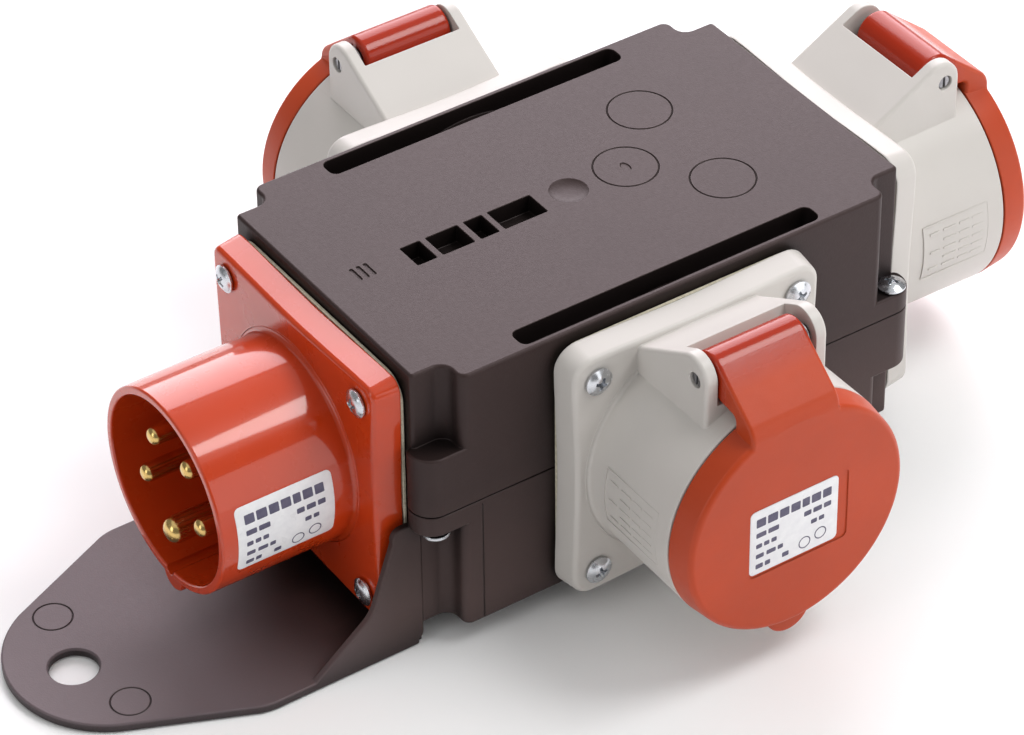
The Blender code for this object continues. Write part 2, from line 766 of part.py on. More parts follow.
def looms(finish):
    inlet_x = -CASE_HALF_X - FLANGE_FACE - SHOULDER_BACK + GAP
    end_x = -inlet_x
    side_y = CASE_HALF_Y + FLANGE_FACE + SHOULDER_BACK - GAP
    inward = Vector((1.0, 0.0, 0.0))
    lift = LOOM_OFFSET
    drop = -LOOM_OFFSET / 2
    spread = LOOM_OFFSET * math.sqrt(0.75)
    loom("loom_end", (
        Vector((inlet_x, 0.0, INLET_Z + lift)), inward,
        Vector((end_x, 0.0, STATION_Z + lift)), -inward,
    ), 30.0, finish)
    for name, sign, x, z in (("loom_front", -1, FRONT_X, FRONT_Z), ("loom_rear", 1, 0.0, STATION_Z)):
        loom(name, (
            Vector((inlet_x, sign * spread, INLET_Z + drop)), inward,
            Vector((x, sign * side_y, z + drop)), Vector((0.0, -sign, 0.0)),
        ), 34.0, finish)


def build():
    for old in list(bpy.data.objects):
        bpy.data.objects.remove(old)
    finishes = {
        "casing": material("casing_plastic", (0.030, 0.025, 0.027), 0.55),
        "red": material("red_gloss_plastic", RED, 0.25),
        "lid": material("lid_plastic", RED, 0.42),
        "grey": material("grey_plastic", (0.62, 0.61, 0.57), 0.30),
        "gasket": material("cream_foam", (0.70, 0.66, 0.52), 0.85),
        "rubber": material("black_rubber", (0.02, 0.02, 0.02), 0.75),
        "brass": material("brass", (0.72, 0.55, 0.25), 0.25, 1.0),
        "zinc": material("bright_zinc", (0.66, 0.68, 0.70), 0.25, 1.0),
        "steel": material("spring_steel", (0.45, 0.46, 0.47), 0.35, 1.0),
        "loom": material("loom_sheath", (0.03, 0.03, 0.035), 0.6),
    }
    end_x = CASE_HALF_X + FLANGE_FACE
    side_y = CASE_HALF_Y + FLANGE_FACE
    inlet = station("inlet_station", (-end_x, 0.0, INLET_Z), -90)
    sockets = {
        "front": station("front_station", (FRONT_X, -side_y, FRONT_Z), 0),
        "end": station("end_station", (end_x, 0.0, STATION_Z), 90),
        "rear": station("rear_station", (0.0, side_y, STATION_Z), 180),
    }
    marks = [inlet, *sockets.values()]
    upper_shell(marks, finishes["casing"])
    lower_shell(marks, finishes["casing"])
    casing_screws(finishes["zinc"])
    gasket("inlet", inlet, finishes["gasket"])
    inlet_housing(inlet, finishes["red"])
    inlet_carrier(inlet, finishes["red"])
    inlet_pins(inlet, finishes["brass"])
    flange_screws("inlet", inlet, finishes["zinc"])
    for prefix, mark in sockets.items():
        socket_outlet(prefix, mark, finishes)
    looms(finishes["loom"])


build()
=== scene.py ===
"""Looks of the portable power distribution box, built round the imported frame.

Shapes are given in millimetres and become metres at MM. A connector's pieces are modelled as seen
face-on: x to the right, y up and z outwards from the middle of its flange face.
"""

import math

import bmesh
import bpy
from mathutils import Matrix, Vector


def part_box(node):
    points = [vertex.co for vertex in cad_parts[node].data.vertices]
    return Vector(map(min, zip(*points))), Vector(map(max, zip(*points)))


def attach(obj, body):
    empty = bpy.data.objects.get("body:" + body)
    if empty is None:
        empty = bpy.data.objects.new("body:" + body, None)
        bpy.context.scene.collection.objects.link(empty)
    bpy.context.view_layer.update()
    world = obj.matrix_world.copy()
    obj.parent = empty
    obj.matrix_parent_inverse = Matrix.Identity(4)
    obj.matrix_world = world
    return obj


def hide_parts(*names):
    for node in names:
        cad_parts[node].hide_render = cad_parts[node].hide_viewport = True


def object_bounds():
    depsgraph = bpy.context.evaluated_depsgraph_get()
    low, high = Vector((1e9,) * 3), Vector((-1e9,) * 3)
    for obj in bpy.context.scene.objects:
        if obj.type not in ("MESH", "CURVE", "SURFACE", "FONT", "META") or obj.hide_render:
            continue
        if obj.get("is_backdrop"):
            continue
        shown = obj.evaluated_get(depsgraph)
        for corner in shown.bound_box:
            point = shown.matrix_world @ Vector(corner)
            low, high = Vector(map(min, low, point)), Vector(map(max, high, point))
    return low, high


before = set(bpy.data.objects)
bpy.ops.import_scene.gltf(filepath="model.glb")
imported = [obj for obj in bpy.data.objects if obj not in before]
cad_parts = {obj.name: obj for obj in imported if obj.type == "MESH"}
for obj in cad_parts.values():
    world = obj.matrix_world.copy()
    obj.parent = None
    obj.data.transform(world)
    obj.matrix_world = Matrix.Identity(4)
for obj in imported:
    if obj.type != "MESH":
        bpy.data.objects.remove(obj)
CAD_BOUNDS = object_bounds()

MM = 0.001
GAP = 0.3
SOCKETS = ("front", "end", "rear")
YAW = {"front": 0, "end": 90, "rear": 180, "inlet": -90}

# Casing
CASE_HALF_X = 73.5
CASE_HALF_Y = 47.0
END_HALF_Y = 39.6
NOTCH_X = 63.9
CONCAVE_R = 3.4
CONVEX_R = 2.5
END_R = 1.1
WALL = 3.0
TOP_EDGE = 0.9
SEAM_EDGE = 0.35
CASE_BOTTOM = 6.2
LONG_BOSS = 17.7
SHORT_BOSS = 6.0
BOSS_REACH = 75.4
BOSS_INNER_Y = 38.2
BOSS_R = 6.0
BOSS_CORNER_R = 2.0
BOSS_SCREW = (70.0, 43.4)
BOSS_HOLE_DEPTH = 13.0
PLINTH_HALF = (50.0, 30.0)
PLINTH_R = 6.0
CASE_BORE_R = 28.0

# Top panel
SLOT_HALF_X = 44.8
SLOT_Y = (39.1, 45.4)
SLOT_R = 2.2
SLOT_DEPTH = 6.0
SLEEVE_R = 35.2
WINDOW_HALF_Y = 4.15
WINDOW_SPANS = ((-47.9, -42.2), (-40.4, -31.0), (-29.1, -23.7), (-22.0, -9.2))
WINDOW_DEPTH = 5.0
DIMPLE_R = 5.3
DIMPLE_DEPTH = 1.0
RING_R = 8.4
RING_PLACES = ((17.5, 0.0), (34.7, 18.0), (34.7, -18.0))
GROOVE = 0.28

# Hanging tab
TAB_T = 2.6
TAB_ROOT = 73.3
TAB_HALF_Y = 39.8
TAB_TAPER_X = 120.5
TAB_CORNER_R = 14.0
TAB_TIP_X = 138.0
TAB_TIP_R = 28.0
EYELET_X = 149.5
EYELET_R = 6.3
GUSSET_T = 1.9

# Flanges and their screws
FLANGE_FACE = 9.0
FLANGE_T = 7.5
FLANGE_DRAFT = 1.0
FLANGE_EDGE = 1.3
FLANGE_WAIST = 0.9
SOCKET_FLANGE_R = 6.5
INLET_FLANGE_R = 3.8
SCREW_PITCH = 30.0
SCREW_HOLE_R = 2.2
SCREW_HEAD_R = 3.75
SCREW_HEAD_H = 2.3
SCREW_LENGTH = 17.0
SCREW_TURNS = {
    "front": (22, 70, 12, 40), "end": (15, 52, 33, 64), "rear": (8, 47, 71, 29), "inlet": (12, 55, 30, 74)}

# Contacts
BACK_BORE_R = 27.2
FLOOR_FRONT = 3.0
FLOOR_BACK = -0.5
CONTACT_CIRCLE_R = 13.5
CONTACT_ANGLES = {"earth": 270.0, "neutral": 342.0, "l1": 54.0, "l2": 126.0, "l3": 198.0}
EARTH_R = 3.5
PHASE_R = 2.5
SHOULDER_R = 26.7
SHOULDER_BACK = -22.0

# Inlet
SHROUD_R = 27.5
SHROUD_BORE_R = 25.2
SHROUD_FRONT = 38.2
KEY_R = 4.6
KEY_DROP = 27.4
INLET_CORE_R = 20.0
INLET_CORE_FRONT = 5.5
PHASE_TIP = 37.0
EARTH_TIP = 38.4
PIN_BACK = -26.0

# Socket outlets
BARREL_BASE_R = 32.6
BARREL_R = 33.0
BARREL_BORE_R = 29.0
BARREL_FRONT = 33.2
SOCKET_CORE_R = 24.0
SOCKET_CORE_FRONT = 31.0

# Hinge, as (out, up) from the middle of the flange face
HINGE_OUT = 23.2
HINGE_UP = 39.8
EAR_HALF = 18.1
EAR_INNER = 14.6
EAR_ROUND = (21.8, 40.0, 6.0)
EAR_SLOPE = 28.0
EAR_FOOT_UP = 35.0
EAR_EDGE = 1.1
RECESS_BACK = 14.6
PIN_HALF = 17.5
RECESS_FOOT = (18.0, 36.2)
ROLL_R = 5.9
ROLL_HOLLOW = (3.9, 11.4)
ARM_SPAN = (-14.1, 12.1)
ARM_FOOT_UP = 32.4
ARM_BEND = 6.0
ARM_FILLET = 3.0
ARM_FLARE_R = 31.1
ARM_EDGE = 1.1

# Lid
LID_BACK = 33.6
LID_FRONT = 41.5
LID_BACK_R = 33.0
LID_FRONT_R = 32.3
LID_EDGE = 1.8
LID_CAVITY_R = 31.0
LID_FACE_T = 3.0
TONGUE_UP = -30.5
TONGUE_R = 6.5
LABEL_RECESS = 0.34

# Camera and lights: turns (yaw, pitch, roll) in degrees, places in metres, lens in millimetres
CAMERA_TURN = (33.870, 38.583, -0.760)
CAMERA_PLACE = (-0.53421, -0.76941, 0.77603)
CAMERA_LENS = 163.38
LIT_POINT = (0.0, 0.0, 0.04)


# ---------------- outlines and bodies

def arc(center, radius, start, end, steps):
    points = []
    for step in range(steps + 1):
        angle = math.radians(start + (end - start) * step / steps)
        points.append((center[0] + radius * math.cos(angle), center[1] + radius * math.sin(angle)))
    return points


def rounded_rectangle(half_x, half_y, radius, steps=8, center=(0.0, 0.0)):
    points = []
    for sign_x, sign_y, start in ((1, 1, 0), (-1, 1, 90), (-1, -1, 180), (1, -1, 270)):
        middle = (center[0] + sign_x * (half_x - radius), center[1] + sign_y * (half_y - radius))
        points += arc(middle, radius, start, start + 90, steps)
    return points


def mirrored_corners(corner):
    """A closed outline from the points of its +X +Y corner."""
    points = list(corner)
    points += [(-x, y) for x, y in reversed(corner)]
    points += [(-x, -y) for x, y in corner]
    points += [(x, -y) for x, y in reversed(corner)]
    return points


def moved_in(outline, distance):
    """The outline moved inwards by distance, each point along the line that halves its corner."""
    points = [Vector(point) for point in outline]
    count = len(points)
    area = sum(points[i - 1].x * points[i].y - points[i].x * points[i - 1].y for i in range(count))
    side = math.copysign(1.0, area) * distance
    moved = []
    for index, here in enumerate(points):
        into = (here - points[index - 1]).normalized()
        onward = (points[(index + 1) % count] - here).normalized()
        normal = Vector((-into.y, into.x))
        bisector = (normal + Vector((-onward.y, onward.x))).normalized()
        moved.append(tuple(here + bisector * side / max(bisector.dot(normal), 0.5)))
    return moved


def ring(outline, height):
    return [Vector((x, y, height)) * MM for x, y in outline]


def side_ring(profile, sideways):
    """An (out, up) profile stood up at a sideways place."""
    return [Vector((sideways, up, out)) * MM for out, up in profile]


def circle(radius, height, segments, center=(0.0, 0.0)):
    return ring(arc(center, radius, 0, 360, segments)[:-1], height)


def loft(rings, closed=False):
    mesh = bmesh.new()
    loops = [[mesh.verts.new(point) for point in points] for points in rings]
    pairs = list(zip(loops, loops[1:]))
    if closed:
        pairs.append((loops[-1], loops[0]))
    else:
        mesh.faces.new(reversed(loops[0]))
        mesh.faces.new(loops[-1])
    for low, high in pairs:
        count = len(low)
        for index in range(count):
            after = (index + 1) % count
            mesh.faces.new((low[index], low[after], high[after], high[index]))
    bmesh.ops.recalc_face_normals(mesh, faces=mesh.faces)
    return mesh


def levels(low, high, low_edge, high_edge, steps=4):
    """(height, inset) pairs of a slab whose two rims are rounded off."""
    angles = [math.radians(90 * step / steps) for step in range(steps + 1)]
    pairs = [(low, 0.0)]
    if low_edge:
        pairs = [(low + low_edge * (1 - math.cos(a)), low_edge * (1 - math.sin(a))) for a in angles]
    if high_edge:
        tops = [(high - high_edge * (1 - math.cos(a)), high_edge * (1 - math.sin(a))) for a in angles]
        return pairs + tops[::-1]
    return pairs + [(high, 0.0)]


def slab(outline, low, high, low_edge=0.0, high_edge=0.0):
    return loft([ring(moved_in(outline, inset), height)
                 for height, inset in levels(low, high, low_edge, high_edge)])


def side_slab(profile, low, high, edge=0.0):
    return loft([side_ring(moved_in(profile, inset), sideways)
                 for sideways, inset in levels(low, high, edge, edge)])


def turned(profile, segments=96, center=(0.0, 0.0)):
    return loft([circle(radius, height, segments, center) for radius, height in profile])


def rod(radius, low, high, segments=96, center=(0.0, 0.0)):
    return turned([(radius, low), (radius, high)], segments, center)


def turned_ring(profile, segments=96, center=(0.0, 0.0)):
    return loft([circle(radius, height, segments, center) for radius, height in profile], closed=True)


def cross_bar(radius, low, high, segments=40, edge=0.0, center=(HINGE_OUT, HINGE_UP)):
    return side_slab(arc(center, radius, 0, 360, segments)[:-1], low, high, edge)


def box(low, high):
    outline = ((low[0], low[1]), (high[0], low[1]), (high[0], high[1]), (low[0], high[1]))
    return slab(outline, low[2], high[2])


def merged(meshes):
    """Several closed bodies that don't touch, as one mesh."""
    whole = bmesh.new()
    for mesh in meshes:
        part = bpy.data.meshes.new("part")
        mesh.to_mesh(part)
        mesh.free()
        whole.from_mesh(part)
        bpy.data.meshes.remove(part)
    return whole


def new_mesh(name, shape):
    data = bpy.data.meshes.new(name)
    shape.to_mesh(data)
    shape.free()
    return data


def add_object(name, data):
    body = bpy.data.objects.new(name, data)
    bpy.context.scene.collection.objects.link(body)
    return body


def solid(name, shape, data_name=None):
    return add_object(name, new_mesh(data_name or name, shape))


def evaluated(body):
    """The body's mesh with its modifiers applied."""
    bpy.context.view_layer.update()
    graph = bpy.context.evaluated_depsgraph_get()
    return bpy.data.meshes.new_from_object(body.evaluated_get(graph))


def combine(body, shape, operation, offset=None):
    if offset is not None:
        bmesh.ops.transform(shape, matrix=offset, verts=shape.verts)
    helper = solid("helper", shape)
    modifier = body.modifiers.new("combine", "BOOLEAN")
    modifier.object = helper
    modifier.operation = operation
    modifier.solver = "EXACT"
    result = evaluated(body)
    body.modifiers.clear()
    body.data = result
    bpy.data.objects.remove(helper)


def join(body, shape, offset=None):
    combine(body, shape, "UNION", offset)


def cut(body, shape, offset=None):
    combine(body, shape, "DIFFERENCE", offset)


def soften(body, width=0.2, segments=2, sharp=34.0):
    """Round the edges that the Booleans left, and keep the large flats flat in the shading."""
    mesh = bmesh.new()
    mesh.from_mesh(body.data)
    bmesh.ops.remove_doubles(mesh, verts=mesh.verts, dist=0.004 * MM)
    bmesh.ops.dissolve_limit(mesh, angle_limit=math.radians(0.6), verts=mesh.verts, edges=mesh.edges,
                             use_dissolve_boundaries=False)
    mesh.to_mesh(body.data)
    mesh.free()
    if width:
        bevel = body.modifiers.new("edges", "BEVEL")
        bevel.width = width * MM
        bevel.segments = segments
        bevel.limit_method = "ANGLE"
        bevel.angle_limit = math.radians(sharp)
        bevel.use_clamp_overlap = False
        bevel.miter_outer = "MITER_ARC"
    body.data.shade_smooth()
    body.data.set_sharp_from_angle(angle=math.radians(50))
    weighted = body.modifiers.new("flats", "WEIGHTED_NORMAL")
    weighted.keep_sharp = True
    weighted.weight = 80


def smooth(data, angle=30.0):
    data.shade_smooth()
    data.set_sharp_from_angle(angle=math.radians(angle))


# ---------------- places

def station_matrix(prefix):
    """The middle of a flange face: x to the right, y up, z outwards."""
    low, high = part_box("inlet_housing" if prefix == "inlet" else f"{prefix}_socket_body")
    turn = Matrix.Rotation(math.radians(YAW[prefix]), 4, "Z")
    across = turn @ Vector((1.0, 0.0, 0.0))
    out = turn @ Vector((0.0, -1.0, 0.0))
    half = abs((high - low).dot(across)) / 2
    face = min(low.dot(out), high.dot(out)) + FLANGE_T * MM
    place = across * ((low + high) / 2).dot(across) + out * face
    place.z = low.z + half
    return Matrix.Translation(place) @ turn @ Matrix.Rotation(math.radians(90), 4, "X")


STATIONS = {prefix: station_matrix(prefix) for prefix in YAW}
FLANGE_HALF = (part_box("end_socket_body")[1].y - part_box("end_socket_body")[0].y) / MM / 2
INLET_FLANGE_HALF = (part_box("inlet_housing")[1].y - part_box("inlet_housing")[0].y) / MM / 2
CASE_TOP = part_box("upper_shell")[1].z / MM
UPPER_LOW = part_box("upper_shell")[0].z / MM
LOWER_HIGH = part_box("lower_shell")[1].z / MM


def screw_places():
    return [(x * SCREW_PITCH, y * SCREW_PITCH) for x, y in ((1, 1), (-1, 1), (-1, -1), (1, -1))]


def contact_places(mirror=1):
    places = []
    for name, angle in CONTACT_ANGLES.items():
        turn = math.radians(angle)
        center = (mirror * CONTACT_CIRCLE_R * math.cos(turn), CONTACT_CIRCLE_R * math.sin(turn))
        places.append((name, center, EARTH_R if name == "earth" else PHASE_R))
    return places


def fit(body, finish, slot, rider, replaced=()):
    """Give a piece its finish, hang it on the body it moves with, and hide the CAD parts it replaces."""
    body.data.materials.clear()
    body.data.materials.append(finish)
    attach(body, rider)
    if replaced:
        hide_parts(*replaced)


# ---------------- materials

def fill(node, values):
    for name, value in values.items():
        node.inputs[name.replace("_", " ")].default_value = value


class Finish:
    """A Principled material with a few procedural layers."""

    def __init__(self, name, roughness, metallic=0.0):
        self.material = bpy.data.materials.new(name)
        self.material.use_nodes = True
        self.nodes = self.material.node_tree.nodes
        self.links = self.material.node_tree.links
        self.shader = self.nodes["Principled BSDF"]
        self.set(Roughness=roughness, Metallic=metallic)
        self.place = self.nodes.new("ShaderNodeTexCoord").outputs["Object"]
        self.normal = None

    def add(self, kind, **values):
        """A new node; its inputs are named as on the node, with _ for each space."""
        node = self.nodes.new("ShaderNode" + kind)
        fill(node, values)
        return node

    def set(self, **values):
        fill(self.shader, values)

    def noise(self, scale, detail=3.0, stretch=None, rough=0.55):
        node = self.add("TexNoise", Scale=scale, Detail=detail, Roughness=rough)
        source = self.place
        if stretch is not None:
            mapping = self.add("Mapping", Scale=stretch)
            self.links.new(source, mapping.inputs["Vector"])
            source = mapping.outputs["Vector"]
        self.links.new(source, node.inputs["Vector"])
        return node.outputs["Fac"]

    def cells(self, scale):
        node = self.add("TexVoronoi", Scale=scale)
        self.links.new(self.place, node.inputs["Vector"])
        return node.outputs["Distance"]

    def along(self, axis):
        node = self.add("SeparateXYZ")
        self.links.new(self.place, node.inputs["Vector"])
        return node.outputs[axis]

    def ranged(self, value, low, high, to_low, to_high):
        node = self.add("MapRange", From_Min=low, From_Max=high, To_Min=to_low, To_Max=to_high)
        self.links.new(value, node.inputs["Value"])
        return node.outputs["Result"]

    def ramp(self, value, first, last, low=0.3, high=0.7):
        node = self.add("ValToRGB")
        for element, position, color in zip(node.color_ramp.elements, (low, high), (first, last)):
            element.position = position
            element.color = (*color, 1.0)
        self.links.new(value, node.inputs["Fac"])
        return node.outputs["Color"]

    def mixed(self, share, first, second):
        node = self.add("Mix")
        node.data_type = "RGBA"
        self.links.new(share, node.inputs[0])
        for socket, value in ((node.inputs[6], first), (node.inputs[7], second)):
            if isinstance(value, tuple):
                socket.default_value = (*value, 1.0)
            else:
                self.links.new(value, socket)
        return node.outputs[2]

    def edges(self, radius, full):
        """Share of wear: how far the surface turns within radius of a point."""
        rounded = self.add("Bevel", Radius=radius * MM)
        rounded.samples = 4
        dot = self.add("VectorMath")
        dot.operation = "DOT_PRODUCT"
        self.links.new(rounded.outputs["Normal"], dot.inputs[0])
        self.links.new(self.add("NewGeometry").outputs["Normal"], dot.inputs[1])
        return self.ranged(dot.outputs["Value"], 0.995, 0.86, 0.0, full)

    def painted_recess_shade(self, reach, full):
        """Share of painted shade: how far the surroundings close in within reach of a point."""
        node = self.add("AmbientOcclusion", Distance=reach * MM)
        node.samples = 6
        return self.ranged(node.outputs["AO"], 0.88, 0.50, 0.0, full)

    def color(self, output):
        self.links.new(output, self.shader.inputs["Base Color"])

    def roughness(self, output):
        self.links.new(output, self.shader.inputs["Roughness"])

    def bump(self, height, depth, strength=1.0):
        node = self.add("Bump", Strength=strength, Distance=depth * MM)
        self.links.new(height, node.inputs["Height"])
        if self.normal is not None:
            self.links.new(self.normal, node.inputs["Normal"])
        self.normal = node.outputs["Normal"]
        self.links.new(self.normal, self.shader.inputs["Normal"])


def shade(color, factor):
    return tuple(min(1.0, channel * factor) for channel in color)


def casing_plastic():
    """Matt brown-black moulding with a fine spark-eroded grain and paler rubbed edges.

    The lower tray is painted lighter towards the bottom as a painted floor reflection, the hanging tab is
    painted lighter towards its tip, and recesses carry near-black painted shade.
    """
    base = (0.028, 0.0165, 0.0150)
    finish = Finish("casing_plastic", 0.5)
    tone = finish.ramp(finish.noise(30.0, 3.0), shade(base, 0.92), shade(base, 1.08))
    dust = finish.ranged(finish.noise(420.0, 6.0, rough=0.7), 0.58, 0.78, 0.0, 0.05)
    tone = finish.mixed(dust, tone, (0.13, 0.112, 0.108))
    # Painted floor reflection: the casing is painted lighter towards the bottom.
    painted_floor_reflection = finish.ranged(finish.along("Z"), 0.050, 0.015, 0.0, 0.60)
    tone = finish.mixed(painted_floor_reflection, tone, (0.095, 0.062, 0.057))
    tab = finish.ranged(finish.along("X"), -0.080, -0.125, 0.0, 0.75)
    tone = finish.mixed(tab, tone, (0.145, 0.118, 0.130))
    worn = finish.mixed(finish.edges(0.5, 0.5), tone, (0.095, 0.074, 0.070))
    # Painted shade: recesses, slots, notches and gaps under parts are painted near-black.
    finish.color(finish.mixed(finish.painted_recess_shade(14.0, 0.90), worn, (0.004, 0.0028, 0.0026)))
    finish.roughness(finish.ranged(finish.noise(900.0, 4.0), 0.3, 0.7, 0.46, 0.51))
    finish.bump(finish.noise(1500.0, 3.0), 0.03, 0.5)
    finish.bump(finish.cells(2600.0), 0.025, 0.6)
    finish.set(Specular_IOR_Level=0.32, Specular_Tint=(1.0, 0.84, 0.85, 1.0))
    return finish.material


def red_gloss():
    base = (0.52, 0.044, 0.006)
    finish = Finish("red_gloss_plastic", 0.3)
    finish.color(finish.ramp(finish.noise(26.0, 3.0), shade(base, 0.9), shade(base, 1.08)))
    finish.roughness(finish.ranged(finish.noise(90.0, 5.0), 0.3, 0.72, 0.24, 0.34))
    finish.bump(finish.noise(55.0, 2.0), 0.10, 0.3)
    finish.bump(finish.noise(900.0, 4.0, (1.0, 1.0, 0.12)), 0.006, 0.5)
    finish.set(Coat_Weight=0.8, Coat_Roughness=0.07, Specular_IOR_Level=0.15, Subsurface_Weight=0.06,
               Subsurface_Radius=(0.0022, 0.0006, 0.0003))
    return finish.material


def lid_satin():
    base = (0.46, 0.050, 0.009)
    finish = Finish("lid_satin_plastic", 0.4)
    tone = finish.ramp(finish.noise(30.0, 4.0), shade(base, 0.92), shade(base, 1.08))
    # Painted shade: the roll is painted darker than the rest of the lid, which is the same plastic; it is
    # also made glossier.
    on_roll = finish.ranged(finish.along("Z"), 0.033, 0.027, 0.0, 1.0)
    tone = finish.mixed(finish.edges(0.4, 0.4), tone, (0.55, 0.10, 0.045))
    finish.color(finish.mixed(on_roll, tone, (0.36, 0.024, 0.006)))
    satin = finish.ranged(finish.noise(500.0, 4.0), 0.3, 0.7, 0.37, 0.44)
    finish.roughness(finish.mixed(on_roll, satin, (0.15, 0.15, 0.15)))
    finish.bump(finish.noise(1500.0, 3.0), 0.02, 0.5)
    finish.bump(finish.cells(2300.0), 0.015, 0.5)
    finish.set(Specular_IOR_Level=0.32, Subsurface_Weight=0.05,
               Subsurface_Radius=(0.0018, 0.0006, 0.0003))
    return finish.material


def grey_plastic():
    base = (0.585, 0.558, 0.525)
    finish = Finish("grey_plastic", 0.3)
    tone = finish.ramp(finish.noise(30.0, 3.0), shade(base, 0.96), shade(base, 1.06), 0.1, 0.9)
    grime = finish.ranged(finish.noise(45.0, 4.0), 0.1, 0.9, 0.0, 0.10)
    finish.color(finish.mixed(grime, tone, (0.48, 0.455, 0.42)))
    finish.roughness(finish.ranged(finish.noise(120.0, 1.0), 0.0, 1.0, 0.34, 0.42))
    finish.set(Specular_IOR_Level=0.34)
    return finish.material


def cream_foam():
    finish = Finish("cream_foam", 0.85)
    finish.color(finish.ramp(finish.noise(900.0, 5.0), (0.50, 0.45, 0.33), (0.74, 0.69, 0.55)))
    finish.bump(finish.cells(1500.0), 0.12, 0.9)
    return finish.material


def grained(name, roughness, tone, gloss=None, grain=None, stretch=None, metallic=0.0):
    """Tone between two shades, gloss between two values and a fine grain, each from its own noise."""
    finish = Finish(name, roughness, metallic)
    scale, detail, first, last = tone
    finish.color(finish.ramp(finish.noise(scale, detail), first, last))
    if gloss:
        scale, detail, low, high = gloss
        finish.roughness(finish.ranged(finish.noise(scale, detail, stretch), 0.3, 0.7, low, high))
    if grain:
        scale, depth, strength = grain
        finish.bump(finish.noise(scale, 3.0, stretch), depth, strength)
    return finish.material


def metal(name, dark, bright, rough, stretch):
    """Plated or drawn metal: tone and gloss vary along fine lines."""
    return grained(name, rough[0], (170.0, 5.0, dark, bright), (700.0, 5.0, *rough), (2400.0, 0.008, 0.6),
                   stretch, 1.0)


def paper(name, low, high, rough):
    return grained(name, rough, (420.0, 5.0, low, high), (260.0, 4.0, rough - 0.06, rough + 0.08),
                   (1200.0, 0.006, 0.5))


def black_rubber():
    return grained("black_rubber", 0.65, (200.0, 5.0, (0.012, 0.012, 0.012), (0.03, 0.03, 0.03)),
                   (400.0, 4.0, 0.55, 0.78), (1800.0, 0.02, 0.6))


def sheath():
    return grained("loom_sheath", 0.55, (120.0, 4.0, (0.02, 0.02, 0.022), (0.045, 0.045, 0.05)),
                   grain=(1400.0, 0.015, 0.6))


def stage_white():
    return grained("stage_white", 0.9, (3.0, 3.0, (0.955, 0.955, 0.955), (0.975, 0.975, 0.975)))


FINISH = {
    "casing": casing_plastic(),
    "red": red_gloss(),
    "lid": lid_satin(),
    "grey": grey_plastic(),
    "foam": cream_foam(),
    "rubber": black_rubber(),
    "brass": metal("brass", (0.60, 0.40, 0.13), (0.80, 0.60, 0.26), (0.16, 0.3), (1.0, 1.0, 0.1)),
    "zinc": metal("bright_zinc", (0.50, 0.52, 0.55), (0.74, 0.76, 0.79), (0.14, 0.32), (1.0, 1.0, 1.0)),
    "steel": metal("spring_steel", (0.22, 0.22, 0.23), (0.42, 0.42, 0.43), (0.25, 0.42), (0.1, 1.0, 1.0)),
    "label": paper("label_white", (0.74, 0.74, 0.76), (0.82, 0.82, 0.83), 0.32),
    "ink": paper("label_ink", (0.055, 0.05, 0.10), (0.10, 0.09, 0.15), 0.4),
    "loom": sheath(),
}


# ---------------- casing

def case_outline():
    """Casing seen from above, with a curved notch in each corner."""
    corner = arc((CASE_HALF_X - END_R, END_HALF_Y - END_R), END_R, 0, 90, 4)
    corner += arc((NOTCH_X + CONCAVE_R, END_HALF_Y + CONCAVE_R), CONCAVE_R, 270, 180, 10)
    corner += arc((NOTCH_X - CONVEX_R, CASE_HALF_Y - CONVEX_R), CONVEX_R, 0, 90, 8)
    return mirrored_corners(corner)


def cavity_outline():
    end_x, end_y = CASE_HALF_X - WALL, END_HALF_Y - WALL
    mid_x, mid_y = NOTCH_X - WALL, CASE_HALF_Y - WALL
    return mirrored_corners([(end_x, end_y), (mid_x, end_y), (mid_x, mid_y)])


def boss_outline(sign_x, sign_y):
    inner_x = NOTCH_X - CONVEX_R - 1.0
    round_center = (BOSS_REACH - BOSS_R, CASE_HALF_Y - BOSS_R)
    corner_center = (BOSS_REACH - BOSS_CORNER_R, BOSS_INNER_Y + BOSS_CORNER_R)
    points = [(inner_x, BOSS_INNER_Y)] + arc(corner_center, BOSS_CORNER_R, 270, 360, 6)
    points += arc(round_center, BOSS_R, 0, 90, 12)
    points.append((inner_x, CASE_HALF_Y))
    return [(sign_x * x, sign_y * y) for x, y in points]


def add_bosses(shell, spans, edges):
    """Bosses in the notches; spans and edges are for the -X and then the +X corners."""
    for sign_x, (low, high), (low_edge, high_edge) in zip((-1, 1), spans, edges):
        for sign_y in (-1, 1):
            join(shell, slab(boss_outline(sign_x, sign_y), low, high, low_edge, high_edge))


def drill(shell, spans):
    for sign_x, (low, high) in zip((-1, 1), spans):
        for sign_y in (-1, 1):
            center = (sign_x * BOSS_SCREW[0], sign_y * BOSS_SCREW[1])
            cut(shell, rod(SCREW_HOLE_R, low, high, 24, center))


def cut_connector_holes(shell):
    back = -FLANGE_FACE - WALL - 1.0
    front = -FLANGE_FACE + 1.0
    for place in STATIONS.values():
        cut(shell, rod(CASE_BORE_R, back, front, 64), place)
        holes = [rod(SCREW_HOLE_R, -SCREW_LENGTH - 1.0, front, 16, center)
                 for center in screw_places()]
        cut(shell, merged(holes), place)


def groove_ring(center, radius, height):
    """Cutter for a fine round groove in a flat face at height."""
    half = GROOVE / 2
    profile = [(radius - half, height - 0.18), (radius + half, height - 0.18),
               (radius + half, height + 0.5), (radius - half, height + 0.5)]
    return turned_ring(profile, 64, center)


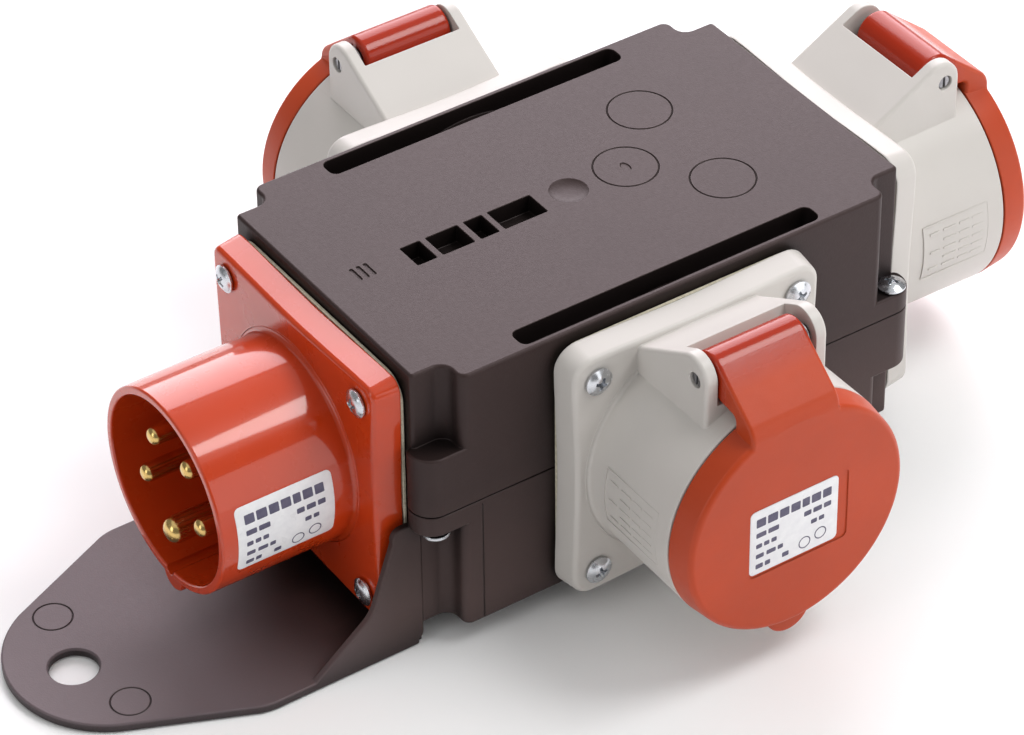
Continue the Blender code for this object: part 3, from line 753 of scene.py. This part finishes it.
def upper_cover():
    low = UPPER_LOW
    body = solid("upper_cover", slab(case_outline(), low, CASE_TOP, SEAM_EDGE, TOP_EDGE))
    trough_z = CASE_TOP - SLOT_DEPTH - WALL
    cut(body, slab(cavity_outline(), low - 1.0, trough_z))
    trough_y = SLOT_Y[0] - WALL
    half_x = CASE_HALF_X - WALL
    cut(body, box((-half_x, -trough_y, trough_z - 1.0), (half_x, trough_y, CASE_TOP - WALL)))
    join(body, box((-50.5, -6.8, CASE_TOP - WINDOW_DEPTH - 2.0), (-6.5, 6.8, CASE_TOP - 1.0)))
    add_bosses(body, ((low, low + LONG_BOSS), (low, low + SHORT_BOSS)), ((0.35, 0.7), (0.35, 0.7)))
    middle_y = (SLOT_Y[0] + SLOT_Y[1]) / 2
    half_y = (SLOT_Y[1] - SLOT_Y[0]) / 2
    for sign in (-1, 1):
        slot = rounded_rectangle(SLOT_HALF_X, half_y, SLOT_R, 6, (0.0, sign * middle_y))
        cut(body, slab(slot, CASE_TOP - SLOT_DEPTH, CASE_TOP + 1.0))
    windows = [slab(rounded_rectangle((end - start) / 2, WINDOW_HALF_Y, 0.35, 3, ((start + end) / 2, 0.0)),
                    CASE_TOP - WINDOW_DEPTH, CASE_TOP + 1.0) for start, end in WINDOW_SPANS]
    cut(body, merged(windows))
    for prefix in ("front", "rear"):
        side = -1 if prefix == "front" else 1
        crest = arc((STATIONS[prefix].translation.x / MM, STATIONS[prefix].translation.z / MM),
                    SLEEVE_R, 0, 180, 48)
        rings = [[Vector((x, side * y, z)) * MM for x, z in crest]
                 for y in (SLOT_Y[0] + 0.6, SLOT_Y[1] + 0.3)]
        join(body, loft(rings))
    dish = [(0.4, -DIMPLE_DEPTH)] + [
        (DIMPLE_R * share, -DIMPLE_DEPTH * (1 - share ** 3)) for share in (0.3, 0.5, 0.7, 0.85, 0.95)]
    dish += [(DIMPLE_R, 0.02), (DIMPLE_R, 1.0)]
    cut(body, turned([(radius, CASE_TOP + height) for radius, height in dish], 64))
    for center in RING_PLACES:
        cut(body, groove_ring(center, RING_R, CASE_TOP))
    oval = [(x * 0.55, y) for x, y in arc((0.0, 0.0), 1.9, 0, 360, 24)[:-1]]
    oval = [(x + RING_PLACES[0][0], y + RING_PLACES[0][1]) for x, y in oval]
    cut(body, slab(oval, CASE_TOP - 0.25, CASE_TOP + 0.5))
    marks = [slab(rounded_rectangle(0.45, 2.6, 0.44, 4, (x, 1.5)), CASE_TOP - 0.35, CASE_TOP + 0.5)
             for x in (-62.4, -60.4, -58.4)]
    cut(body, merged(marks))
    cut_connector_holes(body)
    drill(body, ((low - 1.0, low + BOSS_HOLE_DEPTH), (low - 1.0, low + SHORT_BOSS + 1.0)))
    soften(body, 0.16)
    fit(body, FINISH["casing"], "casing", "casing", ["upper_shell"])


def tab_outline():
    taper = math.degrees(math.asin((TAB_HALF_Y - TAB_TIP_R) / (TAB_TIP_X - TAB_TAPER_X + 8.0)))
    tip = arc((-TAB_TIP_X, 0.0), TAB_TIP_R, 90 + taper, 270 - taper, 48)
    shoulder = arc((-TAB_TAPER_X + 6.0, TAB_HALF_Y - TAB_CORNER_R), TAB_CORNER_R, 90, 90 + taper, 8)
    near = [(x, -y) for x, y in reversed(shoulder)]
    return [(-TAB_ROOT, TAB_HALF_Y)] + shoulder + tip + near + [(-TAB_ROOT, -TAB_HALF_Y)]


def gusset_profile():
    """Gusset seen from the side, as (x, z), from its crest at the casing down to the tab."""
    crest = arc((-77.2, 36.5), 3.0, 90, 195, 10)
    hollow = arc((-94.5, 21.3), 9.0, 345, 305, 10)
    foot = arc((-TAB_ROOT - 0.9, 3.8), 2.4, 270, 360, 6)
    return [(-TAB_ROOT + 1.5, 39.5)] + crest + hollow + [(-104.0, TAB_T - 0.3), (-104.0, 1.4)] + foot


def lower_tray():
    high = LOWER_HIGH
    body = solid("lower_tray", slab(case_outline(), CASE_BOTTOM, high, TOP_EDGE, SEAM_EDGE))
    join(body, slab(rounded_rectangle(*PLINTH_HALF, PLINTH_R), 0.0, CASE_BOTTOM + 1.0, 0.8, 0.0))
    cut(body, slab(cavity_outline(), CASE_BOTTOM + WALL, high + 1.0))
    add_bosses(body, ((high - SHORT_BOSS, high), (high - LONG_BOSS, high)), ((0.7, 0.35), (0.7, 0.35)))
    join(body, box((-TAB_ROOT - 2.4, 1.0 - END_HALF_Y, 0.2), (-TAB_ROOT + 1.5, END_HALF_Y - 1.0, 7.4)))
    for sign in (-1, 1):
        rings = [[Vector((x, sign * y, z)) * MM for x, z in moved_in(gusset_profile(), inset)]
                 for y, inset in levels(TAB_HALF_Y - GUSSET_T, TAB_HALF_Y, 0.35, 0.5)]
        join(body, loft(rings))
    join(body, slab(tab_outline(), 0.0, TAB_T, 0.7, 0.6))
    eyelet = [(EYELET_R + 0.5, -0.5), (EYELET_R + 0.5, 0.0), (EYELET_R, 0.5),
              (EYELET_R, TAB_T - 0.5), (EYELET_R + 0.5, TAB_T), (EYELET_R + 0.5, TAB_T + 0.5)]
    cut(body, turned(eyelet, 64, (-EYELET_X, 0.0)))
    for sign in (-1, 1):
        cut(body, groove_ring((-144.5, sign * 19.0), 5.0, TAB_T))
    cut_connector_holes(body)
    drill(body, ((high - SHORT_BOSS - 1.0, high + 1.0), (high - BOSS_HOLE_DEPTH, high + 1.0)))
    join(body, box((-58.7, -CASE_HALF_Y - 0.09, CASE_BOTTOM + 1.0), (-58.4, -CASE_HALF_Y + 0.5, high - 1.0)))
    soften(body, 0.16)
    fit(body, FINISH["casing"], "casing", "casing", ["lower_shell"])


# ---------------- screws

def screw_mesh():
    """Pan-head screw with a domed head, a washer face and a tapered cross recess."""
    dome = arc((0.0, SCREW_HEAD_H - 5.6), 5.6, 52, 84, 8)
    head = [(SCREW_HEAD_R - 0.15, GAP), (SCREW_HEAD_R, GAP + 0.15), (SCREW_HEAD_R, 0.95)]
    shank = [(1.1, -SCREW_LENGTH), (1.8, -SCREW_LENGTH + 2.0), (1.8, GAP)]
    profile = shank + head + [(radius, height) for radius, height in dome if radius < SCREW_HEAD_R - 0.1]
    body = solid("screw", turned(profile, 48))
    cross = []
    arm, half = 2.05, 0.5
    for quarter in range(4):
        turn = Matrix.Rotation(math.radians(90 * quarter), 2)
        for point in ((arm, -half), (arm, half), (half * 1.7, half), (half, half * 1.7)):
            cross.append(tuple(turn @ Vector(point)))
    small = [(x * 0.45, y * 0.45) for x, y in cross]
    cut(body, loft([ring(small, 0.7), ring(cross, SCREW_HEAD_H + 0.1), ring(cross, SCREW_HEAD_H + 1.0)]))
    data = body.data
    bpy.data.objects.remove(body)
    smooth(data, 34.0)
    return data


def place_screw(name, data, place, turn, node):
    screw = add_object(name, data.copy())
    screw.matrix_world = place @ Matrix.Rotation(math.radians(turn), 4, "Z")
    fit(screw, FINISH["zinc"], "zinc", "casing", [node])


def all_screws():
    data = screw_mesh()
    for end, sign_x, height, flip in (
            ("inlet_end", -1, LOWER_HIGH - SHORT_BOSS, 180), ("socket_end", 1, UPPER_LOW + SHORT_BOSS, 0)):
        for side, sign_y in (("front", -1), ("rear", 1)):
            spot = Vector((sign_x * BOSS_SCREW[0], sign_y * BOSS_SCREW[1], height)) * MM
            place = Matrix.Translation(spot) @ Matrix.Rotation(math.radians(flip), 4, "X")
            place_screw(f"case_screw_{end}_{side}", data, place, 35, f"casing_screw_{end}_{side}")
    for prefix, place in STATIONS.items():
        for index, (x, y) in enumerate(screw_places()):
            spot = place @ Matrix.Translation(Vector((x, y, 0.0)) * MM)
            name = f"{prefix}_flange_screw_{index + 1}"
            place_screw(name, data, spot, SCREW_TURNS[prefix][index], f"{prefix}_screw_{index + 1}")


# ---------------- flanges

def waisted_square(half, radius):
    """Rounded square whose sides bow inwards a little between its corners."""
    points = []
    for side in range(4):
        turn = Matrix.Rotation(math.radians(90 * side), 2)
        corner = arc((half - radius, half - radius), radius, 0, 90, 8)
        points += [tuple(turn @ Vector(point)) for point in corner]
        for step in range(1, 12):
            share = 1 - step / 6
            inward = half - FLANGE_WAIST * (1 - share * share) ** 2
            points.append(tuple(turn @ Vector((share * (half - radius), inward))))
    return points


def flange(half, radius):
    draft = FLANGE_DRAFT
    outline = waisted_square(half, radius)
    rings = [ring(moved_in(outline, 0.2), -FLANGE_T), ring(outline, -FLANGE_T + 0.2)]
    for height, inset in levels(-FLANGE_EDGE - 1.0, 0.0, 0.0, FLANGE_EDGE, 6):
        share = (height + FLANGE_T) / FLANGE_T
        rings.append(ring(moved_in(outline, inset + draft * share), height))
    return loft(rings)


def open_back(body, core_r):
    """Room for the contact block behind and through the floor, and the four screw holes."""
    cut(body, rod(core_r + GAP, -1.5, FLOOR_FRONT + 1.0))
    cut(body, rod(BACK_BORE_R, -FLANGE_T - 1.0, FLOOR_BACK))
    holes = [rod(SCREW_HOLE_R, -FLANGE_T - 1.0, 1.0, 24, center)
             for center in screw_places()]
    cut(body, merged(holes))


def gaskets():
    """Foam sheet squeezed behind each flange, bulging a little at its rim."""
    back, front = -FLANGE_FACE + GAP, -FLANGE_T - GAP
    for prefix, place in STATIONS.items():
        half = FLANGE_HALF - 1.1
        outline = rounded_rectangle(half, half, SOCKET_FLANGE_R, 8)
        body = solid(f"{prefix}_foam_gasket", slab(outline, back, front, 0.25, 0.25), "gasket")
        cut(body, rod(29.0, -FLANGE_FACE - 1.0, 0.0, 64))
        soften(body, 0.0)
        body.matrix_world = place
        fit(body, FINISH["foam"], "gasket", "casing", [f"{prefix}_gasket"])


# ---------------- inlet

def rim_profile(radius, base, front, edge, fillet):
    """Outer side of a tube: a fillet at its foot, straight, then a rounded rim."""
    foot = arc((radius + fillet, base + fillet), fillet, 270, 180, 6)
    rim = arc((radius - edge, front - edge), edge, 0, 90, 4)
    return [(radius + fillet, base - 1.2), (radius + fillet, base + 0.03)] + foot[1:] + rim


def inlet_housing():
    body = solid("inlet_shroud", flange(INLET_FLANGE_HALF, INLET_FLANGE_R))
    join(body, turned(rim_profile(SHROUD_R, 0.0, SHROUD_FRONT, 0.7, 1.2), 128))
    key = [(KEY_R, -1.2), (KEY_R, SHROUD_FRONT - 1.4), (KEY_R - 0.3, SHROUD_FRONT - 0.8)]
    join(body, turned(key, 40, (0.0, -KEY_DROP)))
    bore = arc((SHROUD_BORE_R + 0.6, SHROUD_FRONT - 0.6), 0.6, 180, 90, 4)
    cut(body, turned([(SHROUD_BORE_R - 0.3, FLOOR_FRONT), (SHROUD_BORE_R, FLOOR_FRONT + 0.3)] + bore
                     + [(SHROUD_BORE_R + 0.6, SHROUD_FRONT + 1.0)], 128))
    cut(body, rod(1.6, FLOOR_FRONT, SHROUD_FRONT + 1.0, 32, (0.0, -SHROUD_BORE_R)))
    open_back(body, INLET_CORE_R)
    soften(body, 0.22)
    body.matrix_world = STATIONS["inlet"]
    fit(body, FINISH["red"], "red_gloss", "casing", ["inlet_housing"])


def contact_block(name, core_r, front, edge_r, mirror, hole_back, flare, flare_depth):
    """Moulded insert: a wide shoulder behind the flange and a core with five flared holes."""
    edge = arc((core_r - edge_r, front - edge_r), edge_r, 0, 90, 4)
    body = solid(name, turned([(SHOULDER_R, SHOULDER_BACK), (SHOULDER_R, FLOOR_BACK - GAP),
                               (core_r, FLOOR_BACK - GAP)] + edge))
    for _, center, radius in contact_places(mirror):
        wide = radius + 0.4
        cut(body, turned([(wide, hole_back), (wide, front - flare_depth), (wide + flare, front + 0.1),
                          (wide + flare, front + 1.0)], 32, center))
    return body


def inlet_carrier():
    body = contact_block("inlet_contact_block", INLET_CORE_R, INLET_CORE_FRONT, 0.6, 1,
                         SHOULDER_BACK - 1.0, 0.5, 0.4)
    cut(body, groove_ring((0.0, 0.0), 17.8, INLET_CORE_FRONT))
    soften(body, 0.12)
    body.matrix_world = STATIONS["inlet"]
    fit(body, FINISH["red"], "red_gloss", "casing", ["inlet_pin_carrier"])


def inlet_pins():
    for name, center, radius in contact_places():
        tip = EARTH_TIP if name == "earth" else PHASE_TIP
        nose = 0.75 * radius
        dome = arc((radius - nose, tip - nose), nose, 0, 90, 9)
        waist = [(radius, 5.0), (radius, 7.0), (radius - 0.25, 7.3), (radius - 0.25, 8.3), (radius, 8.6)]
        shape = turned([(radius, PIN_BACK)] + waist + dome + [(0.3, tip + 0.02)], 40)
        pin = solid(f"inlet_contact_{name}", shape, "pin")
        smooth(pin.data)
        pin.matrix_world = STATIONS["inlet"] @ Matrix.Translation(Vector((*center, 0.0)) * MM)
        fit(pin, FINISH["brass"], "brass", "casing", [f"inlet_pin_{name}"])


# ---------------- labels

# Rows of a label's generic print: height above the middle, thickness, and bars as (start, end)
LABEL_ROWS = (
    (6.0, 2.6, ((-11.4, -8.6), (-8.0, -5.0), (-4.4, -1.6), (-1.0, 1.8), (2.4, 4.6), (5.2, 8.0),
                (8.6, 11.2))),
    (2.2, 1.5, ((-11.4, -8.4), (-7.8, -4.6), (3.0, 5.2), (5.8, 8.4), (9.0, 11.2))),
    (-1.2, 1.3, ((-11.4, -9.6), (-9.0, -7.4), (-6.8, -5.2), (5.2, 7.0), (7.6, 9.2))),
    (-4.4, 1.3, ((-11.4, -9.0), (-8.2, -5.4), (-4.8, -3.2))),
    (-7.6, 1.4, ((-11.4, -9.2), (-8.6, -7.0), (-3.4, -1.4))),
)


def label_shapes(half_x, half_y, thickness):
    """A flat label and its print, round the origin: plain bars and two ring marks."""
    plate = slab(rounded_rectangle(half_x, half_y, 1.5, 6), 0.0, thickness, 0.0, 0.06)
    low, high = thickness - 0.02, thickness + 0.035
    bars = []
    for height, thick, spans in LABEL_ROWS:
        for start, end in spans:
            middle = ((start + end) / 2, height)
            bars.append(slab(rounded_rectangle((end - start) / 2, thick / 2, 0.25, 2, middle), low, high))
    for x, y in ((3.4, -6.8), (8.2, -6.0)):
        bars.append(turned_ring([(1.5, low), (1.8, low), (1.8, high), (1.5, high)], 32, (x, y)))
    return plate, merged(bars)


def place_label(prefix, shapes, place, slot, rider):
    for name, shape, finish in zip(("label", "label_print"), shapes, ("label", "ink")):
        piece = solid(f"{prefix}_{name}", shape, name)
        smooth(piece.data)
        piece.matrix_world = place
        fit(piece, FINISH[finish], slot, rider)


def lid_label(prefix):
    shapes = label_shapes(13.3, 10.0, 0.16)
    for shape in shapes:
        offset = Matrix.Translation(Vector((-0.9, -1.5, LID_FRONT - LABEL_RECESS)) * MM)
        bmesh.ops.transform(shape, matrix=offset, verts=shape.verts)
    place_label(f"{prefix}_lid", shapes, STATIONS[prefix], "lid_red", f"{prefix}_lid")


def bend_round(shape, radius, middle):
    """Wrap a flat shape round the shroud's +x side, its right end towards the flange."""
    for step in range(-7, 8):
        plane = Vector((0.0, step * 1.4 * MM, 0.0))
        parts = shape.verts[:] + shape.edges[:] + shape.faces[:]
        bmesh.ops.bisect_plane(shape, geom=parts, plane_co=plane, plane_no=(0.0, 1.0, 0.0))
    for vertex in shape.verts:
        angle = vertex.co.y / (radius * MM)
        reach = radius * MM + vertex.co.z
        vertex.co = Vector((reach * math.cos(angle), reach * math.sin(angle), middle * MM - vertex.co.x))
    bmesh.ops.recalc_face_normals(shape, faces=shape.faces)


def inlet_label():
    shapes = label_shapes(13.75, 9.85, 0.12)
    for shape in shapes:
        bend_round(shape, SHROUD_R + 0.01, 20.0)
    place_label("inlet", shapes, STATIONS["inlet"], "red_gloss", "casing")


# ---------------- socket outlets

def hinge_block_profile():
    out, up, radius = EAR_ROUND
    return [(-1.0, EAR_FOOT_UP), (0.3, EAR_FOOT_UP)] + arc((out, up), radius, 90 + EAR_SLOPE, 0, 14) + [
        (out + radius, 20.0), (-1.0, 20.0)]


def socket_body():
    body = solid("socket_body", flange(FLANGE_HALF, SOCKET_FLANGE_R))
    join(body, side_slab(hinge_block_profile(), -EAR_HALF, EAR_HALF, EAR_EDGE))
    foot = rim_profile(BARREL_BASE_R, 0.0, 10.0, 0.5, 1.0)[:8]
    rim = arc((BARREL_R - 0.5, BARREL_FRONT - 0.5), 0.5, 0, 90, 4)
    join(body, turned(foot + rim, 128))
    floor_up = BARREL_R + 0.3
    recess = [(RECESS_BACK, 60.0), (RECESS_BACK, 43.4), RECESS_FOOT, (RECESS_FOOT[0] + 2.2, floor_up),
              (HINGE_OUT + 10.2, floor_up), (HINGE_OUT + 10.2, 60.0)]
    cut(body, side_slab(recess, -EAR_INNER, EAR_INNER))
    cut(body, cross_bar(2.1, -EAR_HALF - 1.0, EAR_HALF + 1.0, 32))
    bore = arc((BARREL_BORE_R + 0.5, BARREL_FRONT - 0.5), 0.5, 180, 90, 4)
    cut(body, turned([(BARREL_BORE_R, FLOOR_FRONT)] + bore
                     + [(BARREL_BORE_R + 0.5, BARREL_FRONT + 1.0)], 128))
    open_back(body, SOCKET_CORE_R)
    soften(body, 0.18)
    return body


def embossed_panel():
    """Raised frame with rows of short bars on the barrel's sides, in place of moulded lettering."""
    shapes = []
    frame_bars = [((-10.6, 0.0), (0.18, 8.4)), ((10.6, 0.0), (0.18, 8.4)),
                  ((0.0, 8.3), (10.7, 0.18)), ((0.0, -8.3), (10.7, 0.18))]
    for row in range(5):
        height = 5.6 - 2.8 * row
        for start, end in ((-8.8, -5.2), (-4.4, -1.0), (0.0, 4.2), (5.4, 8.6))[:4 - row % 2]:
            frame_bars.append((((start + end) / 2, height), ((end - start) / 2, 0.32)))
    for middle, (half_x, half_y) in frame_bars:
        outline = rounded_rectangle(half_x, half_y, 0.16, 2, middle)
        shapes.append(slab(outline, -0.25, 0.14))
    return merged(shapes)


def panel_on_barrel(prefix, side):
    shape = embossed_panel()
    bend_round(shape, BARREL_R - 0.14, 17.5)
    if side == "left":
        bmesh.ops.transform(shape, matrix=Matrix.Rotation(math.radians(180), 4, "Z"), verts=shape.verts)
    piece = solid(f"{prefix}_embossing_{side}", shape, "embossing")
    smooth(piece.data)
    piece.matrix_world = STATIONS[prefix]
    fit(piece, FINISH["grey"], "grey_gloss", "casing")


def contact_carrier():
    body = contact_block("contact_carrier", SOCKET_CORE_R, SOCKET_CORE_FRONT, 0.7, -1, 2.0, 0.6, 0.5)
    cut(body, groove_ring((0.0, 0.0), 21.0, SOCKET_CORE_FRONT))
    cut(body, turned([(3.2, SOCKET_CORE_FRONT - 1.2), (3.4, SOCKET_CORE_FRONT + 1.0)], 40))
    soften(body, 0.15)
    return body


def contact_sleeves():
    """Brass contact sleeves, one in each hole."""
    tubes = []
    for _, center, radius in contact_places(-1):
        outer, inner = radius + 0.32, radius
        tubes.append(turned_ring([(outer, 2.4), (outer, 27.8), (outer - 0.15, 28.0), (inner + 0.1, 28.0),
                                  (inner, 27.7), (inner, 2.4)], 36, center))
    body = solid("contact_sleeves", merged(tubes))
    smooth(body.data)
    return body


def lid_arm_profile():
    """Arm seen from the side: off the roll in a straight line, then bent softly into the lid's face."""
    face = LID_FRONT - 0.03
    reach = (face - HINGE_OUT, ARM_FOOT_UP - HINGE_UP)
    turn = math.atan2(reach[1], reach[0]) + math.acos(ROLL_R / math.hypot(*reach))
    lean = math.degrees(turn)
    leave = (HINGE_OUT + ROLL_R * math.cos(turn), HINGE_UP + ROLL_R * math.sin(turn))
    length = ARM_BEND * math.tan(turn / 2)
    bend = arc((face - ARM_BEND, ARM_FOOT_UP - length), ARM_BEND, lean, 0, 10)
    return [(HINGE_OUT, HINGE_UP + 1.0), leave] + bend + [
        (face, 22.0), (LID_BACK + 0.2, 22.0), (LID_BACK + 0.2, BARREL_R + 0.4),
        (HINGE_OUT + 4.6, BARREL_R + 1.2), (HINGE_OUT, HINGE_UP - 3.0)]


def lid_arm_outline():
    """Arm seen face-on: straight sides that sweep out into the lid's rim."""
    sides = []
    for sign, edge in ((1, ARM_SPAN[1]), (-1, -ARM_SPAN[0])):
        across = edge + ARM_FILLET
        up = math.sqrt((ARM_FLARE_R + ARM_FILLET) ** 2 - across ** 2)
        tilt = math.degrees(math.atan2(up, across))
        sweep = arc((across, up), ARM_FILLET, 180 + tilt, 180, 8)
        sides.append([(sign * x, y) for x, y in [(8.0, 23.0)] + sweep + [(edge, 52.0)]])
    return sides[0] + sides[1][::-1]


def lid_arm():
    body = solid("arm", side_slab(lid_arm_profile(), -20.0, 20.0))
    join(body, cross_bar(ROLL_R, -20.0, 20.0, 64))
    combine(body, slab(lid_arm_outline(), 10.0, LID_FRONT + 3.0), "INTERSECT")
    soften(body, ARM_EDGE, 4, 50.0)
    bpy.context.view_layer.update()
    shape = bmesh.new()
    shape.from_object(body, bpy.context.evaluated_depsgraph_get())
    bpy.data.objects.remove(body)
    return shape


def lid_body():
    rim = arc((LID_FRONT_R - LID_EDGE, LID_FRONT - LID_EDGE), LID_EDGE, 0, 90, 7)
    shape = turned([(LID_BACK_R - 0.3, LID_BACK), (LID_BACK_R, LID_BACK + 0.3)] + rim, 128)
    body = solid("lid", shape)
    tongue_edge = arc((TONGUE_R - 0.8, LID_FRONT - 2.8), 0.8, 0, 90, 4)
    tongue = [(TONGUE_R - 0.3, LID_BACK + 1.0), (TONGUE_R, LID_BACK + 1.3)] + tongue_edge
    join(body, turned(tongue, 48, (0.0, TONGUE_UP)))
    join(body, lid_arm())
    cut(body, turned([(LID_CAVITY_R, LID_BACK - 1.0), (LID_CAVITY_R - 0.6, LID_FRONT - LID_FACE_T - 0.4),
                      (LID_CAVITY_R - 1.0, LID_FRONT - LID_FACE_T)], 128))
    cut(body, cross_bar(2.2, -EAR_INNER, EAR_INNER, 32))
    cut(body, cross_bar(ROLL_HOLLOW[0], ROLL_HOLLOW[1], EAR_INNER, 40))
    recess = rounded_rectangle(14.9, 10.8, 1.6, 6, (0.5, -1.5))
    cut(body, slab(recess, LID_FRONT - LABEL_RECESS, LID_FRONT + 1.0))
    low, high = LID_FRONT - LID_FACE_T - 0.7, LID_FRONT - 2.0
    for radius in (12.0, 19.5):
        wide = radius + 1.2
        join(body, turned_ring([(radius, low), (wide, low), (wide, high), (radius, high)]))
    soften(body, 0.0)
    return body


def seal_body():
    """Lip seal inside the lid: a flat ring with two round beads."""
    top = LID_FRONT - LID_FACE_T - GAP
    profile = [(24.9, top), (24.6, top - 0.4), (24.6, LID_BACK + 1.6)]
    profile += arc((25.6, LID_BACK + 1.4), 1.0, 180, 360, 8)
    profile += [(27.2, LID_BACK + 2.0), (28.0, LID_BACK + 2.0)]
    profile += arc((29.2, LID_BACK + 1.4), 1.0, 180, 360, 8)
    profile += [(30.2, top - 0.4), (29.9, top)]
    body = solid("seal", turned_ring(profile))
    smooth(body.data)
    return body


def hinge_pin_body():
    body = solid("hinge_pin", cross_bar(1.85, -PIN_HALF, PIN_HALF, 32, 0.25))
    for sign in (-1, 1):
        start, end = sorted((sign * (PIN_HALF - 0.8), sign * (PIN_HALF + 1.0)))
        cut(body, box((start, HINGE_UP - 2.5, HINGE_OUT - 0.35), (end, HINGE_UP + 2.5, HINGE_OUT + 0.35)))
    soften(body, 0.08)
    return body


def spring_body():
    """Torsion spring in the roll's hollow end: two turns of wire and a leg laid on the recess floor."""
    radius, wire, low, high, turns = 2.9, 0.38, 12.15, 13.85, 2.0
    points = []
    steps = 48
    for step in range(steps + 1):
        angle = 2 * math.pi * turns * step / steps + math.radians(200)
        points.append((low + (high - low) * step / steps, HINGE_UP + radius * math.cos(angle),
                       HINGE_OUT + radius * math.sin(angle)))
    last = points[-1]
    points += [(last[0], last[1] - 1.6, last[2] - 2.2), (last[0], last[1] - 2.2, last[2] - 4.2)]
    curve = bpy.data.curves.new("spring", "CURVE")
    curve.dimensions = "3D"
    spline = curve.splines.new("POLY")
    spline.points.add(len(points) - 1)
    for point, (x, y, z) in zip(spline.points, points):
        point.co = (x * MM, y * MM, z * MM, 1.0)
    curve.bevel_depth = wire * MM
    curve.bevel_resolution = 3
    curve.use_fill_caps = True
    holder = add_object("spring", curve)
    data = evaluated(holder)
    bpy.data.objects.remove(holder)
    body = add_object("spring", data)
    smooth(body.data, 60.0)
    return body


def at_each_socket(master, base):
    """A copy of the master piece at each socket, with its modifiers; the master is then removed."""
    for prefix in SOCKETS:
        piece = master.copy()
        piece.data = master.data.copy()
        piece.name = f"{prefix}_{base}"
        bpy.context.scene.collection.objects.link(piece)
        piece.matrix_world = STATIONS[prefix]
        yield prefix, piece
    bpy.data.objects.remove(master)


def sockets():
    """Each piece of a socket: how it is made, its name, finish and slot, what moves it, its CAD node."""
    pieces = (
        (socket_body, "socket_housing", "grey", "grey_gloss", "casing", "socket_body"),
        (contact_carrier, "contact_block", "grey", "grey_gloss", "casing", "contact_carrier"),
        (hinge_pin_body, "hinge_rod", "steel", "spring_steel", "casing", "hinge_pin"),
        (spring_body, "torsion_spring", "steel", "spring_steel", "casing", "closing_spring"),
        (contact_sleeves, "contact_sleeves", "brass", "brass", "casing", None),
        (lid_body, "lid_cap", "lid", "lid_red", "lid", "lid"),
        (seal_body, "lip_seal", "rubber", "lid_rubber", "lid", "lid_seal"),
    )
    for build, base, finish, slot, mover, node in pieces:
        for prefix, piece in at_each_socket(build(), base):
            rider = f"{prefix}_lid" if mover == "lid" else mover
            fit(piece, FINISH[finish], slot, rider, [f"{prefix}_{node}"] if node else ())
    for prefix in SOCKETS:
        lid_label(prefix)
        for side in ("left", "right"):
            panel_on_barrel(prefix, side)


def kept_nodes():
    """The wiring inside keeps its CAD shape."""
    for name in ("loom_front", "loom_end", "loom_rear"):
        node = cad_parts[name]
        node.data.materials.clear()
        node.data.materials.append(FINISH["loom"])


# ---------------- stage, light and camera

def stage():
    outline = [(-3000.0, -3000.0), (3000.0, -3000.0), (3000.0, 3000.0), (-3000.0, 3000.0)]
    floor = solid("floor", slab(outline, -20.0, -0.2))
    floor.data.materials.append(stage_white())
    floor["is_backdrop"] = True


def softbox(name, spot, size, power, color=(1.0, 1.0, 1.0)):
    light = bpy.data.lights.new(name, "AREA")
    light.shape = "RECTANGLE"
    light.size, light.size_y = size
    light.energy = power
    light.color = color
    holder = add_object(name, light)
    holder.location = spot
    holder.rotation_euler = (Vector(LIT_POINT) - Vector(spot)).to_track_quat("-Z", "Y").to_euler()


def lighting():
    world = bpy.data.worlds.new("studio")
    world.use_nodes = True
    fill(world.node_tree.nodes["Background"], {"Color": (1.0, 1.0, 1.0, 1.0), "Strength": 0.26})
    bpy.context.scene.world = world
    bpy.context.scene.view_settings.view_transform = "Standard"
    softbox("back", (0.66, 0.98, 0.78), (1.15, 1.15), 21.5, (1.0, 0.93, 0.99))
    softbox("overhead", (-0.1, -0.1, 1.4), (2.2, 2.2), 7.5)
    softbox("key", (0.62, -0.46, 1.20), (0.55, 0.5), 8.0)
    softbox("fill", (0.75, -1.20, 0.45), (1.4, 0.9), 6.0)
    softbox("left", (-1.3, -0.1, 0.5), (0.5, 0.8), 2.6)


def camera():
    yaw, pitch, roll = (math.radians(angle) for angle in CAMERA_TURN)
    forward = Vector((math.sin(yaw) * math.cos(pitch), math.cos(yaw) * math.cos(pitch), -math.sin(pitch)))
    right = Vector((math.cos(yaw), -math.sin(yaw), 0.0))
    up = right.cross(forward)
    across = math.cos(roll) * right + math.sin(roll) * up
    above = -math.sin(roll) * right + math.cos(roll) * up
    data = bpy.data.cameras.new("camera")
    data.sensor_width = 36.0
    data.lens = CAMERA_LENS
    data.clip_end = 20.0
    holder = add_object("camera", data)
    turn = Matrix((across, above, -forward)).transposed()
    holder.matrix_world = Matrix.Translation(CAMERA_PLACE) @ turn.to_4x4()
    bpy.context.scene.camera = holder


camera()
lighting()
stage()
upper_cover()
lower_tray()
all_screws()
gaskets()
inlet_housing()
inlet_carrier()
inlet_pins()
inlet_label()
sockets()
kept_nodes()

bpy.context.view_layer.update()
boxes = {"cad": CAD_BOUNDS, "visual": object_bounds()}
{name: [list(corner) for corner in corners] for name, corners in boxes.items()}
